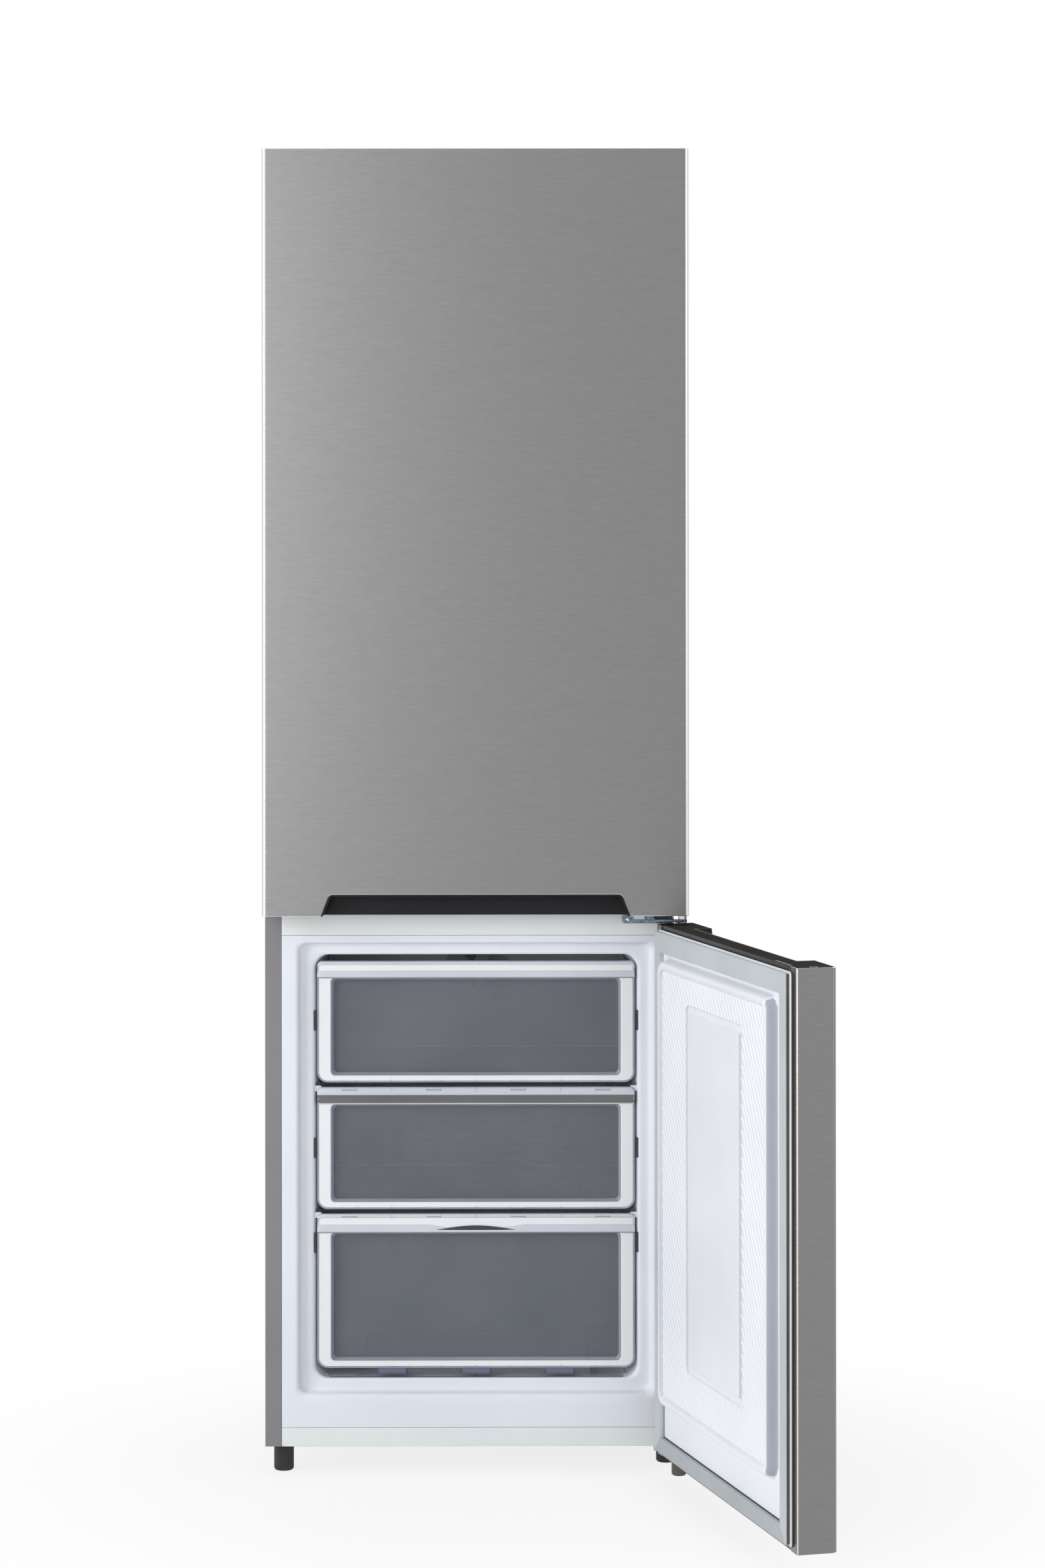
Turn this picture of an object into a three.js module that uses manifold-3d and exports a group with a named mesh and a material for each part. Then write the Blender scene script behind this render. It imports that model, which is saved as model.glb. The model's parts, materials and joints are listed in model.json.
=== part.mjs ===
// A free-standing refrigerator with a fridge above and a freezer with three drawers below.
// Sizes are in millimetres. X runs to the right, Y to the back and Z up, as seen from the front.
// Places are worked out from the cabinet's middle plane, the front face of the closed doors and the floor.
// The finished group is then moved, so that its origin is at the middle of the base of its whole box.

import * as THREE from 'three';
import { mergeVertices } from 'three/addons/utils/BufferGeometryUtils.js';
import Module from 'manifold-3d';

const wasm = await Module();
wasm.setup();

// ---- Clearances
const SEAT_GAP = 0.3; // between faces that rest on each other
const RUNNING_GAP = 0.5; // round a pin or an axle
const SLIDE_GAP = 5; // beside a drawer
const OVERSHOOT = 1; // how far a joined or cutting solid runs past a face

// ---- Doors
const DOOR_OVERHANG = 1; // door beyond the cabinet's side
const DOOR_THICKNESS = 54; // steel skin, front to back
const DOOR_SHEET = 1.2;
const DOOR_RETURN_LIP = 22; // back edge of the skin, turned inwards
const DOOR_BEND_RADIUS = 3;
const DOOR_CAP_HEIGHT = 17;
const DOOR_LINER_WALL = 2;
const FRIDGE_DOOR_HEIGHT = 1069.5;
const FREEZER_DOOR_HEIGHT = 740;
const FREEZER_DOOR_BOTTOM = 37; // above the floor
const DOOR_SPLIT = 13.5; // gap between the two doors
const FREEZER_DOOR_REST_ANGLE = 105; // degrees that the freezer door stands open

// ---- Finger recess between the doors
const GRIP_WIDTH = 430; // at the door's edge
const GRIP_TAPER = 11.5; // how much each end draws in
const GRIP_HEIGHT = 30;
const GRIP_DEPTH = 26;
const GRIP_WALL = 2;

// ---- Gaskets
const GASKET_THICKNESS = 5.9;
const GASKET_WIDTH = 20;
const GASKET_SIDE_INSET = 16.5; // from the door's side
const GASKET_END_INSET = 8; // from the door's top and bottom
const GASKET_CORNER = 5;
const GASKET_INNER_CORNER = 2;
const FLANGE_MARGIN = 2; // door lining beyond the gasket
const FLANGE_CORNER = 6;

// ---- Hinges
const PIN_INSET = 14.5; // pin centre from the door's side
const PIN_SETBACK = 27; // pin centre behind the door's front
const PIN_RADIUS = 4.5;
const PIN_REACH = 12; // length of a pin inside a door
const COLLAR_RADIUS = 9;
const BRACKET_HALF_WIDTH = 12; // of the arm that holds a pin
const HINGE_PLATE = 2.5; // top bracket, and the middle bracket's flange
const TOP_FOOT_WIDTH = 58; // top bracket's plate, to the left of the pin
const TOP_FOOT_SETBACK = 4; // plate's front edge behind the cabinet front
const TOP_FOOT_BACK = 72;
const TOP_ARM_BACK = 20; // arm's end, under the plate
const TOP_SCREW_SIDE = 12; // screw from the plate's side
const TOP_SCREW_END = 16; // screw from the plate's front or back
const HINGE_COVER_WALL = 2;
const HINGE_COVER_SETBACK = 2;
const HINGE_COVER_CORNER = 5;
const HINGE_COVER_HEADROOM = 1; // over the screws
const SCREW_HEAD_RADIUS = 5;
const SCREW_HEAD_HEIGHT = 2;
const SCREW_SIDES = 10;
const MIDDLE_COLLAR = 6; // upper door's bottom above the middle plate
const MIDDLE_PLATE = 3.5;
const MIDDLE_ARM_WIDTH = 33; // to the left of the pin
const MIDDLE_FLANGE_WIDTH = 77;
const MIDDLE_FLANGE_DROP = 6;
const MIDDLE_FLANGE_RISE = 7.5;
const MIDDLE_FLANGE_CORNER = 3;
const FLANGE_SCREW_RADIUS = 4;
const SPACER_PLACE = 53.5; // white spacer's middle, to the left of the pin
const SPACER_WIDTH = 15;
const SPACER_HEIGHT = 6;
const SPACER_DEPTH = 16;
const SPACER_CORNER = 2;
const SPACER_LIFT = 1.5; // its middle above the middle of the gap between the doors
const SPACER_SCREWS = 14; // screws beside the spacer's middle
const BOTTOM_COLLAR = 3; // lower door's bottom above the bottom arm
const BOTTOM_PLATE = 4;
const BOTTOM_ARM_BACK = 30;
const BOTTOM_FOOT_WIDTH = 33; // to the left of the pin
const BOTTOM_FOOT_SETBACK = 2;
const BOTTOM_FOOT_MARGIN = 12; // plate beyond the levelling foot

// ---- Cabinet
const CABINET_WIDTH = 593;
const CABINET_DEPTH = 545;
const CABINET_BASE = 40; // underside, above the floor
const FRIDGE_SIDE_WALL = 53.5;
const FRIDGE_BACK_WALL = 63;
const FREEZER_SIDE_WALL = 67.5;
const FREEZER_BACK_WALL = 70;
const WRAP_SHEET = 1.2;
const SIDE_FLANGE = 23; // front edge of the wrap, turned inwards
const TOP_FLANGE = 30;
const RAIL_DEPTH = 12;
const BOTTOM_RAIL_HEIGHT = 26;
const MIDDLE_RAIL_HEIGHT = 60;
const MIDDLE_RAIL_DROP = 19; // how far the middle rail reaches down behind the freezer door
const LINER_WALL = 2.5;
const BASE_SHEET = 2;

// ---- Fridge compartment
const FRIDGE_LIP = 16; // liner flange below the opening
const FRIDGE_TOP_LIP = 20;
const FRIDGE_CORNER = 24;
const LEDGE_WIDTH = 12;
const LEDGE_HEIGHT = 8;
const SHELF_GLASS = 4;
const SHELF_TRIM_HEIGHT = 16;
const SHELF_TRIM_DEPTH = 12;
const SHELF_TRIM_LIP = 2; // trim above the glass
const SHELF_TRIM_CORNER = 3;
const SHELF_SETBACK = 108; // shelf front behind the cabinet front
const SHELF_BACK_GAP = 18;
const SHELF_HEIGHTS = { lower: 400, middle: 570, upper: 745 }; // glass top above the fridge floor
const CRISPER_COVER_HEIGHT = 185; // glass top above the fridge floor
const CRISPER_WALL = 2.5;
const CRISPER_LIP = 12;
const CRISPER_LIP_WALL = 3;
const CRISPER_HEADROOM = 2;

// ---- Freezer compartment
const FREEZER_CORNER = 20;
const STEP_SIDE_WALL = 48.5; // shallow step round the opening, which takes the door's panel
const STEP_DEPTH = 15;
const STEP_BELOW_RAIL = 12;
const STEP_ABOVE_RAIL = 49;
const STEP_TOP_LIP = 16.5; // from the step's edge to the opening
const STEP_BOTTOM_LIP = 18;
const PLENUM_DEPTH = 72; // space behind the freezer's rear cover
const REAR_COVER = 3;
const VENT_SLOTS = 7;
const VENT_SLOT_WIDTH = 274;
const VENT_SLOT_HEIGHT = 6;
const VENT_SLOT_PITCH = 14;
const VENT_SLOT_LIFT = 30; // first slot above the cover's foot

// ---- Freezer drawers
const DRAWER_TOP_GAP = 9.5;
const DRAWER_HEADROOM = 2.2; // from a drawer's top to the shelf over it
const DRAWER_FLOOR_GAP = 14;
const TOP_DRAWER_HEIGHT = 171;
const MIDDLE_DRAWER_HEIGHT = 172;
const DRAWER_FRONT_DEPTH = 12;
const DRAWER_WINDOW = 4; // thickness of the clear front
const DRAWER_BORDER = 19;
const DRAWER_BOTTOM_BORDER = 9.5;
const DRAWER_CORNER = 15;
const DRAWER_TOP_EDGE = 4; // height of the rounded upper edge
const WINDOW_CORNER = 6;
const PULL_WIDTH = 224; // finger hollow behind the handle band
const PULL_HEIGHT = 13;
const PULL_WALL = 3;
const PULL_BACK_WALL = 1.5;
const PULL_CORNER = 5;
const DRAWER_BANDS = { top: 23, middle: 24, bottom: 26 }; // handle band over the window
const BASKET_WALL = 2.5;
const BASKET_DROP = 8; // basket rim below the top of the front
const BASKET_INSET = 11; // basket side inside the edge of the front
const BASKET_BACK_GAP = 6;
const RUNNER_WIDTH = 10; // bottom basket's runners
const RUNNER_INSET = 42; // from the basket's side

// ---- Door linings and bins
const PANEL_FRONT_GAP = 4.5; // between the freezer door's raised panel and the drawers
const PANEL_CLEARANCE = 5; // inside the liner's step
const PANEL_RIDGE = 20;
const PANEL_FIELD_DROP = 4;
const PANEL_FIELD_CORNER = 10;
const PANEL_PAD_WIDTH = 237;
const PANEL_PAD_INSET = 60; // pad's ends from the panel's ends
const PANEL_PAD_SLOPE = 9; // width of the slope round the pad
const DYKE_CLEARANCE = 9; // fridge door's ribs inside the opening
const DYKE_WIDTH = 30;
const DYKE_RISE = 45;
const DYKE_CORNER = 14;
const DYKE_INNER_CORNER = 8;
const BIN_REACH = 92; // bin front to back
const BIN_WALL = 2.5;
const BIN_LUG = 7; // height of a bin's lug, and how far it reaches into the rib
const LUG_SETBACK = 5; // lug's end from the rib's crest
const BINS = [
  { name: 'door_bin_lower', lift: 70, height: 120 },
  { name: 'door_bin_middle', lift: 400, height: 85 },
  { name: 'door_bin_upper', lift: 660, height: 85 },
];

// ---- Machinery
const ROOM_HEIGHT = 235; // compressor room, above the cabinet's underside
const ROOM_DEPTH = 175;
const ROOM_FOAM = 45; // insulation between the room and the freezer
const COMPRESSOR_RADIUS = 72;
const COMPRESSOR_HEIGHT = 150;
const COMPRESSOR_OFFSET = 60; // to the right of the cabinet's middle
const COMPRESSOR_SIDES = 20;
const MOUNT_PLATE = { width: 190, depth: 110, thickness: 3 };
const TERMINAL_BOX = { width: 26, depth: 56, height: 62, lift: 42 };
const GROMMET_HEIGHT = 10;
const GROMMET_RADIUS = 9;
const GROMMET_INSET = 11; // from the edges of the mounting plate
const PAN_WIDTH = 170;
const PAN_DEPTH = 120;
const PAN_HEIGHT = 28;
const PAN_WALL = 2;
const TUBE_RADIUS = 3;
const CONDENSER_RUNS = 10;
const CONDENSER_SPACING = 128;
const CONDENSER_WIDTH = 440;
const CONDENSER_LIFT = 90; // lowest run above the compressor room
const BEND_STEPS = 6;
const TUBE_SIDES = 6;
const STRAP_WIDTH = 12;
const STRAP_INSET = 31; // from the ends of the straight runs
const STRAP_OVERHANG = 20; // strap beyond the first and last run
const STANDOFF = 14; // condenser tube's centre behind the back panel
const FAN_RADIUS = 50;
const FAN_HUB_RADIUS = 16;
const FAN_BLADES = 5;
const FAN_HEADROOM = 22; // below the freezer's ceiling
const FAN_MOUTH_GAP = 2;
const BLADE_THICKNESS = 2;
const BLADE_WIDTH = 22;
const BLADE_PITCH = 36; // degrees
const BLADE_ROOT = 4; // how far a blade runs into the hub
const FAN_SHAFT_RADIUS = 3;
const FAN_DEPTH = 18;
const FAN_NOSE = 3; // closed front of the hub
const FAN_STANDOFF = 2; // between the motor and the hub
const MOTOR_RADIUS = 24;
const MOTOR_LENGTH = 30;
const EVAPORATOR_FINS = 9;
const FIN_THICKNESS = 8;
const EVAPORATOR_SPINE = 22; // depth of the block behind the fins
const EVAPORATOR_SIDE_GAP = 25;
const EVAPORATOR_FRONT_GAP = 12;
const EVAPORATOR_FAN_GAP = 47; // below the fan
const DUCT_WIDTH = 120;
const DUCT_DEPTH = 14;
const DUCT_CORNER = 12;
const DUCT_LIFT = 30; // above the crisper's cover
const DUCT_VENT_LIFT = 60; // above each shelf
const DUCT_VENT_HEIGHT = 10;
const DUCT_VENT_INSET = 20;
const CONTROL_BOX_WIDTH = 220;
const CONTROL_BOX_HEIGHT = 30;
const CONTROL_BOX_DEPTH = 140;
const CONTROL_BOX_CORNER = 5;
const LENS_WIDTH = 110; // lamp lens under the control box
const LENS_FRONT = 30;
const LENS_BACK = 20;
const LENS_DROP = 3;
const KNOB_RADIUS = 13;
const KNOB_DISC = 4;
const KNOB_DEPTH = 14;
const KNOB_GRIP_WIDTH = 6.5;
const KNOB_GRIP_INSET = 1.3; // grip's ends inside the disc

// ---- Feet and rollers
const FOOT_RADIUS = 14;
const HINGE_FOOT_RADIUS = 10.5;
const FOOT_FLUTES = 18;
const FLUTE_DEPTH = 0.8;
const LEFT_FOOT = { side: 24.5, setback: 36 }; // from the cabinet's side and front
const RIGHT_FOOT = { side: 26.5, setback: 82 };
const HINGE_FOOT_SETBACK = 33; // behind the hinge pin
const HINGE_FOOT_SHIFT = 2; // to the right of the hinge pin
const ROLLER_RADIUS = 15;
const ROLLER_WIDTH = 22;
const ROLLER_AXLE_RADIUS = 4;
const ROLLER_SIDE = 62; // roller's middle from the cabinet's side
const ROLLER_BACK = 40; // axle in front of the cabinet's back
const ROLLER_SIDE_GAP = 1;
const EAR_THICKNESS = 3;
const EAR_HALF = 12;
const EAR_DROP = 8; // below the axle

// ---- Drawing detail
const ROUND_STEPS = 2;
const ROD_SIDES = 16;
const SMALL_ROD_SIDES = 12;
const LARGE_ROD_SIDES = 24;

// ---- Heights
const freezerDoorTop = FREEZER_DOOR_BOTTOM + FREEZER_DOOR_HEIGHT;
const fridgeDoorBottom = freezerDoorTop + DOOR_SPLIT;
const fridgeDoorTop = fridgeDoorBottom + FRIDGE_DOOR_HEIGHT;
const topCapDrop = HINGE_PLATE + 2 * SEAT_GAP; // the top bracket lies in this drop of the cap
const cabinetTop = fridgeDoorTop - topCapDrop;
const baseTop = CABINET_BASE + BASE_SHEET;
const bottomRailTop = CABINET_BASE + BOTTOM_RAIL_HEIGHT;
const middleRailBottom = freezerDoorTop - MIDDLE_RAIL_DROP;
const middleRailTop = middleRailBottom + MIDDLE_RAIL_HEIGHT;
const roomTop = CABINET_BASE + ROOM_HEIGHT;
const middlePlateTop = fridgeDoorBottom - MIDDLE_COLLAR;
const bottomArmTop = FREEZER_DOOR_BOTTOM - BOTTOM_COLLAR;

// ---- Depths
const doorLinerFace = DOOR_THICKNESS + SEAT_GAP + DOOR_LINER_WALL;
const cabinetFront = doorLinerFace + GASKET_THICKNESS + 2 * SEAT_GAP;
const dykeCrest = doorLinerFace + DYKE_RISE;
const cabinetBack = cabinetFront + CABINET_DEPTH;
const foamFront = cabinetFront + LINER_WALL + SEAT_GAP;
const foamBack = cabinetBack - WRAP_SHEET - SEAT_GAP;
const fridgeBack = cabinetBack - FRIDGE_BACK_WALL;
const freezerBack = cabinetBack - FREEZER_BACK_WALL;
const roomFront = cabinetBack - ROOM_DEPTH;
const shelfFront = cabinetFront + SHELF_SETBACK;

// ---- Widths
const cabinetHalf = CABINET_WIDTH / 2;
const doorHalf = cabinetHalf + DOOR_OVERHANG;
const innerHalf = cabinetHalf - WRAP_SHEET - SEAT_GAP; // what fits inside the wrap
const flangeHalf = cabinetHalf - SIDE_FLANGE - SEAT_GAP; // what fits between the wrap's flanges
const fridgeHalf = cabinetHalf - FRIDGE_SIDE_WALL;
const freezerHalf = cabinetHalf - FREEZER_SIDE_WALL;
const stepHalf = cabinetHalf - STEP_SIDE_WALL;
const pin = { x: doorHalf - PIN_INSET, y: PIN_SETBACK };

// ---- Openings of the two liners
const fridgeFloor = middleRailTop + FRIDGE_LIP;
const fridgeCeiling = cabinetTop - TOP_FLANGE - FRIDGE_TOP_LIP;
const stepTop = middleRailBottom - STEP_BELOW_RAIL;
const stepBottom = bottomRailTop + STEP_ABOVE_RAIL;
const freezerCeiling = stepTop - STEP_TOP_LIP;
const freezerFloor = stepBottom + STEP_BOTTOM_LIP;
const humpTop = roomTop + ROOM_FOAM;
const humpFront = roomFront - ROOM_FOAM;

// ---- Freezer drawers, from the top down
const drawerFront = cabinetFront + STEP_DEPTH;
const drawerHalf = freezerHalf - SLIDE_GAP;
const rearCoverFront = freezerBack - PLENUM_DEPTH;
const drawerSpacing = SHELF_GLASS + SEAT_GAP + DRAWER_HEADROOM;
const topDrawer = { top: freezerCeiling - DRAWER_TOP_GAP };
topDrawer.bottom = topDrawer.top - TOP_DRAWER_HEIGHT;
const middleDrawer = { top: topDrawer.bottom - drawerSpacing };
middleDrawer.bottom = middleDrawer.top - MIDDLE_DRAWER_HEIGHT;
const bottomDrawer = { top: middleDrawer.bottom - drawerSpacing, bottom: freezerFloor + DRAWER_FLOOR_GAP };
const basketHalf = drawerHalf - BASKET_INSET;
const basketFront = drawerFront + DRAWER_FRONT_DEPTH + SEAT_GAP;

// ---- Fan, and the rollers' axle
const fanCentre = [0, freezerCeiling - FAN_RADIUS - FAN_HEADROOM]; // X and Z
const motorFront = freezerBack - SEAT_GAP - MOTOR_LENGTH;
const fanBack = motorFront - FAN_STANDOFF;
const fanFront = fanBack - FAN_DEPTH;
const rollerAxle = cabinetBack - ROLLER_BACK;

// ---- Solids

// Turns a closed geometry into a solid that can be joined and cut.
function solidFrom(geometry) {
  const bare = new THREE.BufferGeometry();
  bare.setAttribute('position', geometry.getAttribute('position'));
  bare.setIndex(geometry.getIndex());
  const merged = mergeVertices(bare, 1e-4);
  const corners = merged.index.array;
  const kept = [];
  for (let i = 0; i < corners.length; i += 3) {
    const [a, b, c] = corners.subarray(i, i + 3);
    if (a !== b && b !== c && c !== a) kept.push(a, b, c);
  }
  return new wasm.Manifold(new wasm.Mesh({
    numProp: 3,
    vertProperties: merged.attributes.position.array,
    triVerts: new Uint32Array(kept),
  }));
}

function geometryFrom(solid) {
  const mesh = solid.getMesh();
  const geometry = new THREE.BufferGeometry();
  geometry.setAttribute('position', new THREE.BufferAttribute(mesh.vertProperties, 3));
  geometry.setIndex(new THREE.BufferAttribute(mesh.triVerts, 1));
  const faceted = geometry.toNonIndexed();
  faceted.computeVertexNormals();
  return faceted;
}

const join = (first, ...others) => others.reduce((whole, other) => whole.add(other), first);
const cut = (first, ...others) => others.reduce((whole, other) => whole.subtract(other), first);

function block(x0, x1, y0, y1, z0, z1) {
  const box = new THREE.BoxGeometry(x1 - x0, y1 - y0, z1 - z0);
  box.translate((x0 + x1) / 2, (y0 + y1) / 2, (z0 + z1) / 2);
  return solidFrom(box);
}

function roundedOutline(x0, x1, y0, y1, radius) {
  const shape = new THREE.Shape();
  shape.moveTo(x0 + radius, y0);
  shape.lineTo(x1 - radius, y0);
  shape.absarc(x1 - radius, y0 + radius, radius, -Math.PI / 2, 0);
  shape.lineTo(x1, y1 - radius);
  shape.absarc(x1 - radius, y1 - radius, radius, 0, Math.PI / 2);
  shape.lineTo(x0 + radius, y1);
  shape.absarc(x0 + radius, y1 - radius, radius, Math.PI / 2, Math.PI);
  shape.lineTo(x0, y0 + radius);
  shape.absarc(x0 + radius, y0 + radius, radius, Math.PI, Math.PI * 1.5);
  return shape;
}

function polygon(points) {
  return new THREE.Shape(points.map(([x, y]) => new THREE.Vector2(x, y)));
}

// An outline in plan, as high as z0 to z1.
function upright(shape, z0, z1) {
  const geometry = new THREE.ExtrudeGeometry(shape, {
    depth: z1 - z0, bevelEnabled: false, curveSegments: ROUND_STEPS,
  });
  geometry.translate(0, 0, z0);
  return solidFrom(geometry);
}

// An outline as seen from the front, as deep as y0 to y1.
function facing(shape, y0, y1) {
  const geometry = new THREE.ExtrudeGeometry(shape, {
    depth: y1 - y0, bevelEnabled: false, curveSegments: ROUND_STEPS,
  });
  geometry.rotateX(Math.PI / 2);
  geometry.translate(0, y1, 0);
  return solidFrom(geometry);
}

// A rounded rectangle as seen from the front, as deep as y0 to y1.
function slab(x0, x1, z0, z1, radius, y0, y1) {
  return facing(roundedOutline(x0, x1, z0, z1, radius), y0, y1);
}

// A slab whose front and back edges slope in by the slope's width over the slope's rise.
function slopedSlab(x0, x1, z0, z1, radius, y0, y1, slope) {
  const geometry = new THREE.ExtrudeGeometry(roundedOutline(x0, x1, z0, z1, radius), {
    depth: y1 - y0 - 2 * slope.rise,
    bevelEnabled: true,
    bevelThickness: slope.rise,
    bevelSize: slope.width,
    bevelOffset: -slope.width,
    bevelSegments: 1,
    curveSegments: ROUND_STEPS,
  });
  geometry.rotateX(Math.PI / 2);
  geometry.translate(0, y1 - slope.rise, 0);
  return solidFrom(geometry);
}

function rod(axis, centre, radius, from, to, sides = ROD_SIDES) {
  const cylinder = new THREE.CylinderGeometry(radius, radius, to - from, sides);
  const middle = (from + to) / 2;
  if (axis === 'x') cylinder.rotateZ(Math.PI / 2).translate(middle, centre[0], centre[1]);
  if (axis === 'y') cylinder.translate(centre[0], middle, centre[1]);
  if (axis === 'z') cylinder.rotateX(Math.PI / 2).translate(centre[0], centre[1], middle);
  return solidFrom(cylinder);
}

// A box with four walls and a floor, open at the top.
function tub(x0, x1, y0, y1, z0, z1, wall) {
  const inside = block(x0 + wall, x1 - wall, y0 + wall, y1 - wall, z0 + wall, z1 + OVERSHOOT);
  return cut(block(x0, x1, y0, y1, z0, z1), inside);
}

// Two like blocks, on the left and on the right of the middle plane.
function pair(inner, outer, ...reach) {
  return [block(-outer, -inner, ...reach), block(inner, outer, ...reach)];
}

// ---- Finishes
const finishes = {
  steel: { color: 0x9a9998, roughness: 0.34, metalness: 0.9 },
  paint: { color: 0x8a898b, roughness: 0.55, metalness: 0.3 },
  rail: { color: 0xdde2e3, roughness: 0.45, metalness: 0 },
  liner: { color: 0xe8ecf1, roughness: 0.35, metalness: 0 },
  doorLiner: { color: 0xeef1f5, roughness: 0.4, metalness: 0 },
  gasket: { color: 0xbcc2c4, roughness: 0.6, metalness: 0 },
  cap: { color: 0x2a2726, roughness: 0.35, metalness: 0 },
  foot: { color: 0x2c2c2c, roughness: 0.5, metalness: 0 },
  hingeFoot: { color: 0x77736e, roughness: 0.4, metalness: 0.2 },
  zinc: { color: 0x59636b, roughness: 0.3, metalness: 1 },
  whitePlastic: { color: 0xeef0f1, roughness: 0.4, metalness: 0 },
  clear: { color: 0xdfe6ea, roughness: 0.1, metalness: 0, transparent: true, opacity: 0.35 },
  glass: { color: 0xcfe0da, roughness: 0.05, metalness: 0, transparent: true, opacity: 0.35 },
  foam: { color: 0xe3cf8e, roughness: 0.9, metalness: 0 },
  sheet: { color: 0x9ba0a2, roughness: 0.5, metalness: 0.6 },
  castIron: { color: 0x1e1f20, roughness: 0.45, metalness: 0.4 },
  aluminium: { color: 0xc3c6c8, roughness: 0.35, metalness: 1 },
  condenser: { color: 0x17181a, roughness: 0.5, metalness: 0.3 },
};

function piece(group, name, solid, finish) {
  const mesh = new THREE.Mesh(geometryFrom(solid), new THREE.MeshStandardMaterial(finishes[finish]));
  mesh.name = name;
  group.add(mesh);
}

// ---- Cabinet shell

// The fridge's space, larger by the wall all round.
function fridgeSpace(wall, y0, y1) {
  const half = fridgeHalf + wall;
  return slab(-half, half, fridgeFloor - wall, fridgeCeiling + wall, FRIDGE_CORNER + wall, y0, y1);
}

// The freezer's space has a shallow step round its mouth and a hump over the compressor room.
function freezerSpace(wall) {
  const front = cabinetFront - OVERSHOOT;
  const outerHalf = stepHalf + wall;
  const innerHalfWidth = freezerHalf + wall;
  const radius = FREEZER_CORNER + wall;
  const stepBack = cabinetFront + STEP_DEPTH + wall;
  const back = freezerBack + wall;
  const step = slab(-outerHalf, outerHalf, stepBottom - wall, stepTop + wall, radius, front, stepBack);
  const space = slab(
    -innerHalfWidth, innerHalfWidth, freezerFloor - wall, freezerCeiling + wall, radius, front, back,
  );
  const hump = block(-cabinetHalf, cabinetHalf, humpFront + wall, cabinetBack, 0, humpTop - wall);
  return join(step, cut(space, hump));
}

function cabinetWrap() {
  const outside = block(-cabinetHalf, cabinetHalf, cabinetFront, cabinetBack, CABINET_BASE, cabinetTop);
  const inside = block(
    -cabinetHalf + WRAP_SHEET, cabinetHalf - WRAP_SHEET,
    cabinetFront - OVERSHOOT, cabinetBack + OVERSHOOT,
    CABINET_BASE - OVERSHOOT, cabinetTop - WRAP_SHEET,
  );
  const flangeBack = cabinetFront + WRAP_SHEET;
  const flangeInner = cabinetHalf - SIDE_FLANGE;
  const sideFlanges = pair(flangeInner, cabinetHalf, cabinetFront, flangeBack, CABINET_BASE, cabinetTop);
  const topFlange = block(
    -cabinetHalf, cabinetHalf, cabinetFront, flangeBack, cabinetTop - TOP_FLANGE, cabinetTop,
  );
  return join(cut(outside, inside), ...sideFlanges, topFlange);
}

function cabinetFoam() {
  const foamTop = cabinetTop - WRAP_SHEET - SEAT_GAP;
  const body = block(-innerHalf, innerHalf, foamFront, foamBack, baseTop + SEAT_GAP, foamTop);
  const room = block(-cabinetHalf, cabinetHalf, roomFront, cabinetBack, 0, roomTop);
  const seat = LINER_WALL + SEAT_GAP;
  const railBack = cabinetFront + RAIL_DEPTH + SEAT_GAP;
  const railHalf = flangeHalf + SEAT_GAP;
  const middleSeat = [middleRailBottom - SEAT_GAP, middleRailTop + SEAT_GAP];
  return cut(
    body,
    room,
    fridgeSpace(seat, cabinetFront, fridgeBack + seat),
    freezerSpace(seat),
    block(-railHalf, railHalf, cabinetFront, railBack, ...middleSeat),
    block(-railHalf, railHalf, cabinetFront, railBack, CABINET_BASE, bottomRailTop + SEAT_GAP),
  );
}

function fridgeLiner() {
  const flange = block(
    -flangeHalf, flangeHalf,
    cabinetFront, cabinetFront + LINER_WALL,
    middleRailTop + SEAT_GAP, cabinetTop - TOP_FLANGE - SEAT_GAP,
  );
  const outside = fridgeSpace(LINER_WALL, cabinetFront, fridgeBack + LINER_WALL);
  const inside = fridgeSpace(0, cabinetFront - OVERSHOOT, fridgeBack);
  const ledgeFront = shelfFront + SHELF_TRIM_DEPTH + SEAT_GAP;
  const ledges = [CRISPER_COVER_HEIGHT, ...Object.values(SHELF_HEIGHTS)].flatMap((lift) => {
    const top = fridgeFloor + lift - SHELF_GLASS - SEAT_GAP;
    const reach = [ledgeFront, fridgeBack + LINER_WALL / 2, top - LEDGE_HEIGHT, top];
    return pair(fridgeHalf - LEDGE_WIDTH, fridgeHalf + LINER_WALL / 2, ...reach);
  });
  return join(cut(join(flange, outside), inside), ...ledges);
}

function freezerLiner() {
  const flange = block(
    -flangeHalf, flangeHalf,
    cabinetFront, cabinetFront + LINER_WALL,
    bottomRailTop + SEAT_GAP, middleRailBottom - SEAT_GAP,
  );
  const beforeFlange = block(-cabinetHalf, cabinetHalf, 0, cabinetFront, 0, cabinetTop);
  const shell = cut(join(flange, cut(freezerSpace(LINER_WALL), beforeFlange)), freezerSpace(0));
  const ledgeFront = drawerFront + DRAWER_FRONT_DEPTH + SLIDE_GAP;
  const ledges = [topDrawer, middleDrawer].flatMap((drawer) => {
    const top = drawer.bottom - SHELF_GLASS - 2 * SEAT_GAP;
    const reach = [ledgeFront, deckBack(drawer), top - LEDGE_HEIGHT, top];
    return pair(basketHalf + SLIDE_GAP, freezerHalf + LINER_WALL / 2, ...reach);
  });
  return join(shell, ...ledges);
}

function backPanel() {
  const top = cabinetTop - WRAP_SHEET - SEAT_GAP;
  return block(-innerHalf, innerHalf, cabinetBack - WRAP_SHEET, cabinetBack, roomTop, top);
}

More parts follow.
